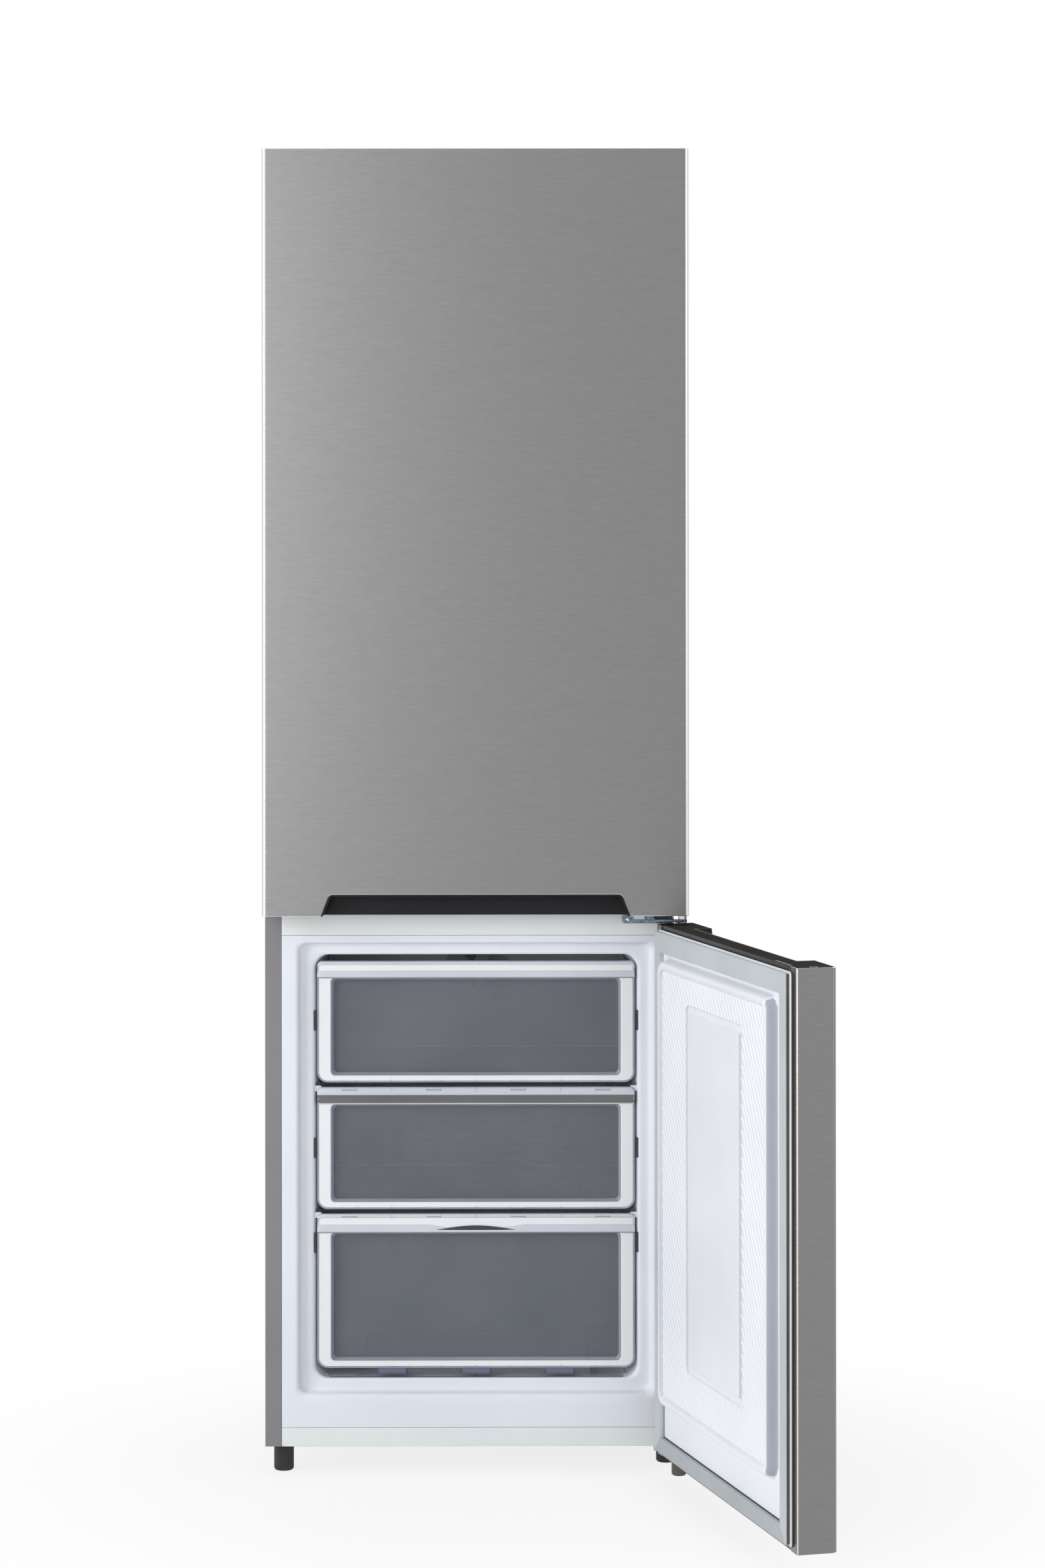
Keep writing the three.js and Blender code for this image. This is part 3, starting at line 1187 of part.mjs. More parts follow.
function compressor() {
  const { x, y } = compressorPlace;
  const outline = CAN_PROFILE.map(([across, up]) => (
    new THREE.Vector2(across * COMPRESSOR_RADIUS, up * COMPRESSOR_HEIGHT)
  ));
  const can = new THREE.LatheGeometry(outline, COMPRESSOR_SIDES);
  can.rotateX(Math.PI / 2);
  can.translate(x, y, canBottom);
  const halfWidth = MOUNT_PLATE.width / 2;
  const halfDepth = MOUNT_PLATE.depth / 2;
  const plateTop = mountBottom + MOUNT_PLATE.thickness;
  const plate = block(x - halfWidth, x + halfWidth, y - halfDepth, y + halfDepth, mountBottom, plateTop);
  const grommets = [];
  for (const side of [-1, 1]) {
    for (const end of [-1, 1]) {
      const centre = [x + side * (halfWidth - GROMMET_INSET), y + end * (halfDepth - GROMMET_INSET)];
      const ends = [baseTop + SEAT_GAP, mountBottom + OVERSHOOT];
      grommets.push(rod('z', centre, GROMMET_RADIUS, ...ends, SMALL_ROD_SIDES));
    }
  }
  const box = TERMINAL_BOX;
  const terminals = block(
    x - COMPRESSOR_RADIUS - box.width, x - COMPRESSOR_RADIUS / 2,
    y - box.depth / 2, y + box.depth / 2,
    canBottom + box.lift, canBottom + box.lift + box.height,
  );
  return join(solidFrom(can), plate, terminals, ...grommets);
}

function drainPan() {
  const { x, y } = compressorPlace;
  const bottom = canBottom + COMPRESSOR_HEIGHT + SEAT_GAP;
  const halfWidth = PAN_WIDTH / 2;
  const halfDepth = PAN_DEPTH / 2;
  const plan = [x - halfWidth, x + halfWidth, y - halfDepth, y + halfDepth];
  return tub(...plan, bottom, bottom + PAN_HEIGHT, PAN_WALL);
}

// The tube winds from side to side, joined by half turns.
function condenserRoute(half, y, low) {
  const points = [];
  const bend = CONDENSER_SPACING / 2;
  for (let i = 0; i < CONDENSER_RUNS; i += 1) {
    const z = low + i * CONDENSER_SPACING;
    const side = i % 2 ? -1 : 1;
    points.push(new THREE.Vector3(-side * half, y, z), new THREE.Vector3(side * half, y, z));
    if (i === CONDENSER_RUNS - 1) break;
    for (let k = 1; k < BEND_STEPS; k += 1) {
      const angle = -Math.PI / 2 + (k * Math.PI) / BEND_STEPS;
      const x = side * (half + bend * Math.cos(angle));
      points.push(new THREE.Vector3(x, y, z + bend + bend * Math.sin(angle)));
    }
  }
  return points;
}

function condenser() {
  const half = CONDENSER_WIDTH / 2 - CONDENSER_SPACING / 2;
  const y = cabinetBack + STANDOFF;
  const low = roomTop + CONDENSER_LIFT;
  const top = low + (CONDENSER_RUNS - 1) * CONDENSER_SPACING;
  const outer = half - STRAP_INSET + STRAP_WIDTH / 2;
  const depths = [cabinetBack + SEAT_GAP, y + OVERSHOOT];
  const heights = [low - STRAP_OVERHANG, top + STRAP_OVERHANG];
  const straps = pair(outer - STRAP_WIDTH, outer, ...depths, ...heights);
  return join(tubeThrough(condenserRoute(half, y, low), TUBE_RADIUS), ...straps);
}

// A bent tube whose path lies in one plane that faces the back.
function tubeThrough(points, radius) {
  const rings = points.map((point, i) => {
    const before = points[Math.max(i - 1, 0)];
    const after = points[Math.min(i + 1, points.length - 1)];
    const run = new THREE.Vector3().subVectors(after, before).normalize();
    const across = new THREE.Vector3(run.z, 0, -run.x);
    return Array.from({ length: TUBE_SIDES }, (_, k) => {
      const angle = (k * 2 * Math.PI) / TUBE_SIDES;
      const corner = point.clone().addScaledVector(across, radius * Math.cos(angle));
      return corner.setY(corner.y + radius * Math.sin(angle));
    });
  });
  const triangles = [];
  for (let i = 0; i + 1 < rings.length; i += 1) {
    for (let k = 0; k < TUBE_SIDES; k += 1) {
      const a = i * TUBE_SIDES + k;
      const b = i * TUBE_SIDES + ((k + 1) % TUBE_SIDES);
      triangles.push(a, b, a + TUBE_SIDES, b, b + TUBE_SIDES, a + TUBE_SIDES);
    }
  }
  const last = (rings.length - 1) * TUBE_SIDES;
  for (let k = 1; k + 1 < TUBE_SIDES; k += 1) {
    triangles.push(0, k + 1, k, last, last + k, last + k + 1);
  }
  const geometry = new THREE.BufferGeometry().setFromPoints(rings.flat());
  geometry.setIndex(triangles);
  return solidFrom(geometry);
}

function buildMachinery(group) {
  piece(group, 'compressor', compressor(), 'castIron');
  piece(group, 'drain_pan', drainPan(), 'foot');
  piece(group, 'condenser', condenser(), 'condenser');
}

// ---- The whole refrigerator
const refrigerator = new THREE.Group();
refrigerator.name = 'refrigerator';
buildShell(refrigerator);
buildFridgeFittings(refrigerator);
buildFreezerFittings(refrigerator);
buildDrawers(refrigerator);
buildDoors(refrigerator);
buildHinges(refrigerator);
buildBase(refrigerator);
buildMachinery(refrigerator);

const whole = new THREE.Box3().setFromObject(refrigerator, true);
const middle = whole.getCenter(new THREE.Vector3());
refrigerator.position.set(-middle.x, -middle.y, -whole.min.z);

export default refrigerator;
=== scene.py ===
"""A refrigerator with its freezer door open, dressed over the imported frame, on a pale studio floor.

Places are in metres in the part's frame: +X to the right, +Y to the back, +Z up. They are worked out from
the boxes of the part's solids, with sizes in millimetres times MM. Corner radii, roundings, profiles of
bands and the steps of grown are plain millimetres.
"""
import json
from math import cos, hypot, pi, radians, sin, sqrt

import bmesh
import bpy
from mathutils import Matrix, Vector

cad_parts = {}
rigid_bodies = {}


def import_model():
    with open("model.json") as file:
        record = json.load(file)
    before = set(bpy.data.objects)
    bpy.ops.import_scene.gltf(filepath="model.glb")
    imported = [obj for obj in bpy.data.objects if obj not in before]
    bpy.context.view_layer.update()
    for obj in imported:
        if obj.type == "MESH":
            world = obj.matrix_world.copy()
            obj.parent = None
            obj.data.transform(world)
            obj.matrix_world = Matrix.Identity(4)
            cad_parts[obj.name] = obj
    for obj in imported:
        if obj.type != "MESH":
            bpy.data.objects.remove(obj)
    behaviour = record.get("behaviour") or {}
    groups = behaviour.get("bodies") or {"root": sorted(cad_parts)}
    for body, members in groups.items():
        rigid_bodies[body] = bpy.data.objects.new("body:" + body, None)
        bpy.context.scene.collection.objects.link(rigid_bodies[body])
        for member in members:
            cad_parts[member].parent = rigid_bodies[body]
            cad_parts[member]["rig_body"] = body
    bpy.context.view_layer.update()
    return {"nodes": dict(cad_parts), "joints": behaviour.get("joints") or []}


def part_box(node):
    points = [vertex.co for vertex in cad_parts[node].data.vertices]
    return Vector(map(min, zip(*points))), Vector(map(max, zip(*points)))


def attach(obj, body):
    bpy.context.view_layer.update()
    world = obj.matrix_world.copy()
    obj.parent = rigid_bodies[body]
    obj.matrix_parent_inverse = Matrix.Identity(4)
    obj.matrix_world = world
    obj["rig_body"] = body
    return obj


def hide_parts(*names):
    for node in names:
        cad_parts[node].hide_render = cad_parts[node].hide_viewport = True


MM = 0.001

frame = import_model()
NODES = frame["nodes"]


# ---- Places

class Box:
    """A solid's lowest and highest corner at rest, its middle and its outline seen from the front."""

    def __init__(self, node):
        low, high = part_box(node)
        self.x0, self.y0, self.z0 = low
        self.x1, self.y1, self.z1 = high
        self.x, self.y, self.z = (low + high) / 2
        self.rect = self.x0, self.x1, self.z0, self.z1


FREEZER_HINGE = next(j for j in frame["joints"] if j["name"] == "freezer_door_hinge")
FREEZER_PIN = Vector(FREEZER_HINGE["pos_m"])
DOOR_TURNS = {  # from a shut door to the door at rest
    "fridge_door": Matrix.Identity(4),
    "freezer_door": (
        Matrix.Translation(FREEZER_PIN)
        @ Matrix.Rotation(-radians(FREEZER_HINGE["range_deg"][0]), 4, "Z")
        @ Matrix.Translation(-FREEZER_PIN)
    ),
}


def shut_box(door, part):
    """The lowest and highest corner of a door's solid with the door shut."""
    back = DOOR_TURNS[door].inverted()
    corners = [back @ v.co for v in NODES[f"{door}_{part}"].data.vertices]
    return [Vector(pick(c[i] for c in corners) for i in range(3)) for pick in (min, max)]


# ---- Meshes

CORNER_STEPS = 8
SOFT_STEPS = 5
SOFT_SHARE = 0.48  # of the way to the next station that a rounding may take
SHARP_ANGLE = radians(38)
BEVEL_ANGLE = radians(28)
FLAT_ANGLE = radians(0.3)
SAME_PLACE = 1e-6  # points nearer than this are one


def station_points(place):
    """Points of an upright rounded rectangle: (x0, x1, z0, z1, lower radius, upper radius, y)."""
    x0, x1, z0, z1, low, high, y = place
    points = []
    for x, z, radius, to_x, to_z, start in (
        (x1, z0, low, -1, 1, -90), (x1, z1, high, -1, -1, 0), (x0, z1, high, 1, -1, 90), (x0, z0, low, 1, 1, 180),
    ):
        for step in range(CORNER_STEPS + 1):
            angle = radians(start + 90 * step / CORNER_STEPS)
            points.append((x + radius * (to_x + cos(angle)), y, z + radius * (to_z + sin(angle))))
    return points


def grown(rect, by, upright=None):
    """A rectangle with its sides moved outwards, and its top and bottom too, or by a length of their own."""
    x0, x1, z0, z1 = rect
    by, upright = by * MM, (by if upright is None else upright) * MM
    return x0 - by, x1 + by, z0 - upright, z1 + upright


def within(point, rect):
    x0, x1, z0, z1 = rect
    return x0 < point.x < x1 and z0 < point.z < z1


def mixed(first, second, share):
    return tuple(a + (b - a) * share for a, b in zip(first, second))


def softened(stations, lengths, closed):
    """Turns each station into a short curve that starts and ends its length away from it."""
    count = len(stations)
    result = []
    for i, (here, length) in enumerate(zip(stations, lengths)):
        if length == 0 or (not closed and i in (0, count - 1)):
            result.append(here)
            continue
        ends = []
        for other in (stations[i - 1], stations[(i + 1) % count]):
            deep = other[6] - here[6]
            reach = hypot(other[0] - here[0], deep) or hypot(other[2] - here[2], deep)
            ends.append(mixed(here, other, min(SOFT_SHARE, length * MM / reach)))
        for step in range(SOFT_STEPS + 1):
            t = step / SOFT_STEPS
            result.append(mixed(mixed(ends[0], here, t), mixed(here, ends[1], t), t))
    return result


def add_object(name, data):
    made = bpy.data.objects.new(name, data)
    bpy.context.scene.collection.objects.link(made)
    return made


def show(name, mesh, material, body="cabinet", *stands_for, shut=False):
    """Adds a piece that rides on a body and stands for the named solids; it may be made for the shut door."""
    if shut:
        mesh.transform(DOOR_TURNS[body])
    mesh.name = name
    mesh.materials.clear()
    mesh.materials.append(material)
    mesh.polygons.foreach_set("use_smooth", [True] * len(mesh.polygons))
    mesh.set_sharp_from_angle(angle=SHARP_ANGLE)
    piece = add_object(name, mesh)
    piece.modifiers.new("even shading", "WEIGHTED_NORMAL").keep_sharp = True
    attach(piece, body)
    if stands_for:
        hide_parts(*stands_for)
    return piece


def tint(piece, material, chosen):
    """Gives the chosen faces of a piece a further material of the same slot."""
    piece.data.materials.append(material)
    for face in filter(chosen, piece.data.polygons):
        face.material_index = len(piece.data.materials) - 1


def skin(rings, closed=False, open_start=False):
    """Faces between neighbouring rings of points and over the end rings, unless the rings are closed."""
    bm = bmesh.new()
    rings = [[bm.verts.new(point) for point in points] for points in rings]
    for first, second in zip(rings, rings[1:] + rings[:1] if closed else rings[1:]):
        count = max(len(first), len(second))
        for k in range(count):
            n = (k + 1) % count
            corners = [ends[i % len(ends)] for ends, i in ((first, k), (first, n), (second, n), (second, k))]
            bm.faces.new(list(dict.fromkeys(corners)))  # a ring of one point gives triangles
    if not closed:
        for end in rings[-1:] if open_start else (rings[0], rings[-1]):
            if len(end) > 2:
                bm.faces.new(end)
    return bm


def mesh_of(bm):
    bmesh.ops.recalc_face_normals(bm, faces=bm.faces)
    mesh = bpy.data.meshes.new("mesh")
    bm.to_mesh(mesh)
    bm.free()
    return mesh


def loft(stations, closed=False, open_start=True):
    """A surface through upright rounded rectangles.

    Each is an outline, the radius of its corners, its y, the length of the rounding there and, where the
    upper corners have another radius, that radius.
    """
    lengths = [length for _, _, _, length, *_ in stations]
    places = [(*rect, radius * MM, (*upper, radius)[0] * MM, y) for rect, radius, y, _, *upper in stations]
    bm = skin([station_points(place) for place in softened(places, lengths, closed)], closed, open_start)
    bmesh.ops.remove_doubles(bm, verts=bm.verts, dist=SAME_PLACE)
    return mesh_of(bm)


def bevel(bm, edges, width, segments=2):
    bmesh.ops.bevel(
        bm, geom=edges, offset=width, segments=segments, profile=0.5, affect="EDGES", clamp_overlap=True)


def soften(bm, width, segments=2):
    """Rounds the edges where two faces meet at more than a small angle."""
    bm.normal_update()
    edges = [e for e in bm.edges if len(e.link_faces) == 2 and e.calc_face_angle(0) > BEVEL_ANGLE]
    if edges:
        bevel(bm, edges, width * MM, segments)


def prism(outline, axis, start, end, soft=0):
    """An outline of two coordinates drawn along an axis; the other two axes keep their order."""
    at = "xyz".index(axis)
    bm = skin([[(*spot[:at], t, *spot[at:]) for spot in outline] for t in (start, end)])
    if soft:
        soften(bm, soft)
    return mesh_of(bm)


def near(place, first, last):
    """A span between two places, in millimetres from a third."""
    return place + first * MM, place + last * MM


def block(across, depth, upright, soft):
    """A box with rounded edges over three spans."""
    (x0, x1), (y0, y1) = across, depth
    return prism([(x0, y0), (x1, y0), (x1, y1), (x0, y1)], "z", *upright, soft)


def merged(*meshes):
    """One mesh that holds several."""
    bm = bmesh.new()
    for mesh in meshes:
        bm.from_mesh(mesh)
        bpy.data.meshes.remove(mesh)
    whole = bpy.data.meshes.new("mesh")
    bm.to_mesh(whole)
    bm.free()
    return whole


def angles(count):
    """Even steps of a full turn."""
    return [2 * pi * k / count for k in range(count)]


def lathe(profile, centre, tilt=0, steps=32):
    """A profile of (radius, height) that starts and ends on the axis, turned round it and tilted about X."""
    bm = skin([
        [(radius * cos(a), radius * sin(a), height) for a in angles(steps if radius else 1)]
        for radius, height in profile
    ])
    bm.transform(Matrix.Translation(centre) @ Matrix.Rotation(radians(tilt), 4, "X"))
    return mesh_of(bm)


def tube(points, radius, sides=10):
    """A round tube through the points, closed at both ends."""
    points = [Vector(point) for point in points]
    rings = []
    for i, point in enumerate(points):
        run = (points[min(i + 1, len(points) - 1)] - points[max(i - 1, 0)]).normalized()
        across = run.orthogonal().normalized() if i == 0 else (across - run * across.dot(run)).normalized()
        beside = run.cross(across)
        rings.append([point + radius * (across * cos(a) + beside * sin(a)) for a in angles(sides)])
    return mesh_of(skin(rings))


def solid_copy(node):
    """A solid's mesh with its doubled points joined."""
    bm = bmesh.new()
    bm.from_mesh(NODES[node].data)
    bmesh.ops.remove_doubles(bm, verts=bm.verts, dist=SAME_PLACE)
    return bm


def stand_in(node, bm, material):
    """Shows a mesh in the place of a solid, on the solid's body."""
    return show(f"{node}_shown", mesh_of(bm), material, NODES[node]["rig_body"], node)


def dressed(node, material, soft, segments=2):
    """A copy of a solid with rounded edges, which stands for it."""
    bm = solid_copy(node)
    bmesh.ops.dissolve_limit(bm, angle_limit=FLAT_ANGLE, verts=bm.verts, edges=bm.edges)
    soften(bm, soft, segments)
    return stand_in(node, bm, material)


# ---- Materials

def wire(tree, node, inputs):
    """Sets a shader node's inputs, each to a value or another node's output."""
    for key, value in inputs.items():
        if isinstance(value, bpy.types.NodeSocket):
            tree.links.new(value, node.inputs[key])
        else:
            node.inputs[key].default_value = value


def add_node(tree, kind, inputs, **settings):
    node = tree.nodes.new(f"ShaderNode{kind}")
    for key, value in settings.items():
        setattr(node, key, value)
    wire(tree, node, inputs)
    return node


def colour(code):
    """Linear colour of a hexadecimal sRGB code."""
    parts = [int(code[i:i + 2], 16) / 255 for i in (0, 2, 4)]
    linear = [c / 12.92 if c <= 0.04045 else ((c + 0.055) / 1.055) ** 2.4 for c in parts]
    return (*linear, 1.0)


class Finish:
    """A material under construction: a Principled shader with helpers for its node graph."""

    def __init__(self, name, slot, **settings):
        self.material = bpy.data.materials.new(name)
        self.material.use_nodes = True
        self.material["slot"] = slot
        self.tree = self.material.node_tree
        self.set(**{socket.replace("_", " "): value for socket, value in settings.items()})

    def set(self, **inputs):
        wire(self.tree, self.tree.nodes["Principled BSDF"], inputs)
        return self

    def texture(self, kind, output, scale, stretch=(1, 1, 1), **inputs):
        """A texture in the piece's own coordinates, stretched."""
        place = add_node(self.tree, "TexCoord", {})
        mapping = add_node(self.tree, "Mapping", {"Scale": stretch, "Vector": place.outputs["Object"]})
        inputs |= {"Scale": scale, "Vector": mapping.outputs["Vector"]}
        return add_node(self.tree, kind, inputs).outputs[output]

    def noise(self, scale, detail=2.0, stretch=(1, 1, 1)):
        return self.texture("TexNoise", "Fac", scale, stretch, Detail=detail)

    def paint(self, source, codes, start=0.3, end=0.7):
        """The base colour runs from one code to the other with the source."""
        ramp = add_node(self.tree, "ValToRGB", {"Fac": source})
        for element, position, code in zip(ramp.color_ramp.elements, (start, end), codes.split()):
            element.position = position
            element.color = colour(code)
        return self.set(**{"Base Color": ramp.outputs["Color"]})

    def roughen(self, source, low, high):
        spread = add_node(self.tree, "MapRange", {"Value": source, "To Min": low, "To Max": high})
        return self.set(Roughness=spread.outputs["Result"])

    def emboss(self, source, strength, distance):
        bump = add_node(self.tree, "Bump", {"Strength": strength, "Distance": distance, "Height": source})
        return self.set(Normal=bump.outputs["Normal"])


def brushed_steel(name, codes, roughness):
    """Fine level hairlines that stretch reflections upright."""
    finish = Finish(name, "steel", Metallic=1.0, Anisotropic=0.6, Anisotropic_Rotation=0.25)
    hairs = finish.noise(1.0, 3, (16, 16, 2600))
    grain = finish.noise(1.0, 2, (60, 60, 900))
    finish.paint(grain, codes, 0.2, 0.8).roughen(hairs, roughness - 0.04, roughness + 0.06)
    tangent = add_node(finish.tree, "Tangent", {}, direction_type="RADIAL", axis="Z")
    return finish.set(Tangent=tangent.outputs["Tangent"]).emboss(hairs, 0.12, 0.02 * MM).material


def painted_steel():
    finish = Finish("grey_paint", "paint", Roughness=0.5)
    grain = finish.noise(1300, 3)
    finish.paint(finish.noise(9, 4), "7e7d81 838286").roughen(grain, 0.42, 0.58)
    return finish.emboss(grain, 0.35, 0.12 * MM).material


def plastic(name, slot, codes, roughness, grain=900, depth=0.03 * MM, gloss=0.5, alpha=1.0):
    """Moulded plastic: a faint drift of colour and a fine grain."""
    finish = Finish(name, slot, Specular_IOR_Level=gloss, Alpha=alpha)
    texture = finish.noise(grain, 2)
    finish.paint(finish.noise(5, 3), codes).roughen(texture, roughness - 0.05, roughness + 0.05)
    return finish.emboss(texture, 0.2, depth).material


def clear(name, slot, codes, alpha, roughness=0.06):
    finish = Finish(name, slot, Alpha=alpha, IOR=1.49)
    finish.paint(finish.noise(7, 2), codes)
    return finish.roughen(finish.noise(60, 2), roughness, roughness + 0.05).material


def spangled(name, slot, codes, roughness, scale):
    """Galvanised sheet with its crystals."""
    finish = Finish(name, slot, Metallic=1.0)
    crystals = finish.texture("TexVoronoi", "Color", scale)
    finish.paint(crystals, codes, 0.1, 0.9).roughen(crystals, roughness - 0.08, roughness + 0.1)
    return finish.emboss(finish.noise(700, 2), 0.12, 0.03 * MM).material


def metal(name, slot, codes, roughness):
    finish = Finish(name, slot, Metallic=1.0)
    scratches = finish.noise(600, 3, (1, 1, 0.2))
    finish.paint(finish.noise(40, 3), codes).roughen(scratches, roughness - 0.06, roughness + 0.08)
    return finish.emboss(scratches, 0.15, 0.02 * MM).material


def foamed():
    finish = Finish("rigid_foam", "foam", Roughness=0.9)
    finish.paint(finish.noise(30, 4), "d8c078 e8d79c")
    return finish.emboss(finish.texture("TexVoronoi", "Distance", 700), 0.6, 0.4 * MM).material


STEEL = brushed_steel("brushed_steel", "807f7f 898888", 0.34)
# lighter steel that paints a highlight on the door sheet's bends and rims
STEEL_PAINTED_HIGHLIGHT = brushed_steel("steel_painted_highlight", "cfcdca d9d7d4", 0.26)
PAINT = painted_steel()
RAIL = plastic("rail_white", "rail", "e2e7e8 e9edee", 0.45)
LINER = plastic("liner_white", "liner", "e2e6ee e9ecf3", 0.36, gloss=0.4)
# dark lavender sheet that paints the shade on the freezer floor under the lowest drawer
FLOOR_SHADE = plastic("floor_painted_shade", "liner", "646981 70758d", 0.7)
DOOR_LINER = plastic("door_liner_white", "door_liner", "eaedf3 f1f3f7", 0.38, gloss=0.4)
# bluish grey painted shade for the door panel's wall at the free side
DOOR_LINER_PAINTED_SHADE = plastic("door_liner_painted_shade", "door_liner", "a6adb9 afb6c2", 0.38, gloss=0.4)
# lighter painted shade for slopes that face the free side: the ridge's inner wall at the hinge side and the groove's
# walls
DOOR_LINER_SLOPE_SHADE = plastic("door_liner_slope_painted_shade", "door_liner", "c2c8d4 cad0db", 0.38, gloss=0.4)
# dark painted shade for the door lining's flange edge behind the seal
LINER_EDGE_SHADE = plastic("liner_edge_painted_shade", "door_liner", "55544f 63625d", 0.6)
GASKET = plastic("gasket_grey", "gasket", "bac1c4 c6ccd0", 0.6, 700, 0.06 * MM)
# darker grey: painted shade on the seal's lower length
GASKET_LOW_SHADE = plastic("gasket_low", "gasket", "a6adb0 b2b8bb", 0.6, 700, 0.06 * MM)
GASKET_SHADOW = plastic("gasket_shadow", "gasket", "181818 232323", 0.8)
# dark grey painted shade in the seal's folds
BELLOWS_SHADE = plastic("gasket_bellows_painted_shade", "gasket", "5c5b57 6e6c67", 0.55, 700, 0.06 * MM)
CAP = plastic("cap_black", "cap", "1f1d1d 282524", 0.3, 500)
# satin grey of the hinge cover, and painted light on the tops of the door caps
SATIN_GREY_AND_TOP_LIGHT = plastic("satin_grey_and_painted_top_light", "cap", "3b3a38 464542", 0.75, 500, gloss=0.0)
# near black: print on and round the knob, and painted shade in slots, holes and the bottom drawer's grip
DARK_PRINT_AND_SHADE = plastic("dark_print_and_painted_shade", "cap", "2b2b30 36363c", 0.5)
GRIP = plastic("grip_black", "grip", "1c1b1e 232124", 0.55, gloss=0.15)
CLEAR = clear("clear_window", "clear_plastic", "b9bfca c6ccd6", 0.07)
BASKET = clear("clear_basket", "clear_plastic", "aab0bd bcc2cd", 0.12)
# less clear: a painted reflection on the baskets' side walls
BASKET_SIDE_REFLECTION = clear("clear_basket_side", "clear_plastic", "b4bac9 c4c9d6", 0.3)
# pale: the lamp lens's plastic, and painted highlights along the baskets' edges
LENS_AND_EDGE_HIGHLIGHT = clear("clear_lens_and_edge_highlight", "clear_plastic", "d5dae6 e3e7f0", 0.8)
RIM = clear("clear_rim", "clear_plastic", "c9cfdb dfe3ec", 0.5)
FROSTED = plastic("frosted_border", "clear_plastic", "f1f2f6 f7f8fa", 0.24, 600, alpha=0.93)
BAND = plastic("handle_band", "clear_plastic", "c7cad4 d3d6df", 0.18, 600)
# grey that paints a dark reflection in the middle drawer's clear band
DARK_REFLECTION_BAND = plastic("band_painted_dark_reflection", "clear_plastic", "605f60 6f6e6e", 0.14, 600)
BEVELLED = plastic("window_bevel", "clear_plastic", "a3a6b3 b3b6c2", 0.2, 600, alpha=0.9)
# painted shadow: the fine dark line under the top and bottom drawers' bands
LIP_SHADOW = plastic("lip_painted_shadow", "clear_plastic", "7e8090 8a8c9b", 0.4)
# dark lavender: painted shade on the pads under the bottom drawer
PAD_SHADE = plastic("drawer_pad_painted_shade", "clear_plastic", "63687f 6a6f88", 0.4)
GLASS = clear("shelf_glass", "glass", "cfe0da dbe8e4", 0.3, 0.03)
DECK = clear("freezer_deck", "glass", "2c2d33 383a41", 0.45, 0.2)
WHITE = plastic("white_plastic", "white_plastic", "e4e7ea eceef1", 0.34)
ZINC = spangled("blued_zinc", "zinc", "4f5a63 7d8a94", 0.24, 500)
CHROME = metal("bright_pin", "zinc", "c4c6c8 d6d8da", 0.16)
PALE_ZINC = metal("pale_bracket", "zinc", "a9acae bcbfc0", 0.36)
SHEET = spangled("galvanised_sheet", "sheet", "9fa3a5 aeb2b4", 0.4, 260)
ALUMINIUM = metal("aluminium_fins", "aluminium", "b4b7b9 c6c9cb", 0.34)
COPPER = metal("copper_tube", "dark_metal", "8a5a3c a06c4a", 0.34)
BLACK_STEEL = plastic("compressor_black", "dark_metal", "151617 1e1f20", 0.34, 350, 0.15 * MM)
CONDENSER = plastic("condenser_black", "condenser", "141517 1c1d1f", 0.42, 500)
FOOT = plastic("foot_black", "foot", "1b1b1c 242425", 0.5, 400)
HINGE_FOOT = plastic("hinge_foot_grey", "hinge_foot", "53504c 615e5a", 0.4, 400)
FOAM = foamed()


# ---- Solids that keep their form

# A material, the rounding of the edges and the solids
ROUNDED = (
    (PAINT, 0.5, "cabinet_wrap"),
    (SHEET, 0.3, "back_panel room_panel base_plate"),
    (RAIL, 0.8, "middle_rail bottom_rail"),
    (RAIL, 0.6, "thermostat_knob"),
    (LINER, 0.8, "freezer_rear_cover"),
    (DECK, 0.6, "freezer_shelf_upper freezer_shelf_lower"),
    (BASKET, 0.8, "crisper_drawer door_bin_lower door_bin_middle door_bin_upper"),
    (WHITE, 0.8, "hinge_spacer roller_left roller_right"),
    (WHITE, 1.2, "control_box"),
    (WHITE, 1.5, "air_duct"),
    (DOOR_LINER, 0.5, "fridge_door_liner"),
    (PALE_ZINC, 0.4, "top_hinge_bracket bottom_hinge_bracket"),
    (SATIN_GREY_AND_TOP_LIGHT, 1.0, "top_hinge_cover"),
    (BLACK_STEEL, 1.0, "compressor"),
    (FOOT, 0.6, "drain_pan"),
    (CONDENSER, 0.3, "condenser"),
)
SHARP = {"evaporator": ALUMINIUM, "fan_motor": BLACK_STEEL, "evaporator_fan": WHITE}


def build_plain_solids():
    """Rounded copies of solids, and the sharp solids themselves with their material."""
    for material, soft, nodes in ROUNDED:
        for node in nodes.split():
            dressed(node, material, soft)
    dressed("fridge_door_dyke", DOOR_LINER, 1.5, 3)
    for node, material in SHARP.items():
        materials = NODES[node].data.materials
        materials.clear()
        materials.append(material)


# ---- Foam

FOAM_GAP, FOAM_CORNER_GAP, DOOR_FOAM_GAP = 1.2 * MM, 4.5 * MM, 1.0 * MM


def near_mouth_corner(point):
    """Whether a point of the foam lies behind a corner of the freezer's mouth."""
    top, bottom = Box("drawer_top_front"), Box("drawer_bottom_front")
    half, reach, depth = 248 * MM, 26 * MM, 40 * MM
    floor, ceiling = bottom.z0 - 32 * MM, top.z1 + 26 * MM
    at_side = abs(abs(point.x - top.x) - half) < reach
    at_height = min(abs(point.z - floor), abs(point.z - ceiling)) < reach
    return at_side and at_height and point.y < Box("freezer_liner").y0 + depth


def shrunk_foam(node, amount):
    """A copy of a foam solid that stays behind the linings' rounded corners."""
    bm = solid_copy(node)
    bm.normal_update()
    for vert, shift in [(v, v.normal * amount(v.co)) for v in bm.verts]:
        vert.co -= shift
    stand_in(node, bm, FOAM)


# ---- Linings

LINER_SHEET = 2.2 * MM
SHELVES = ("shelf_lower", "shelf_middle", "shelf_upper", "crisper_cover")


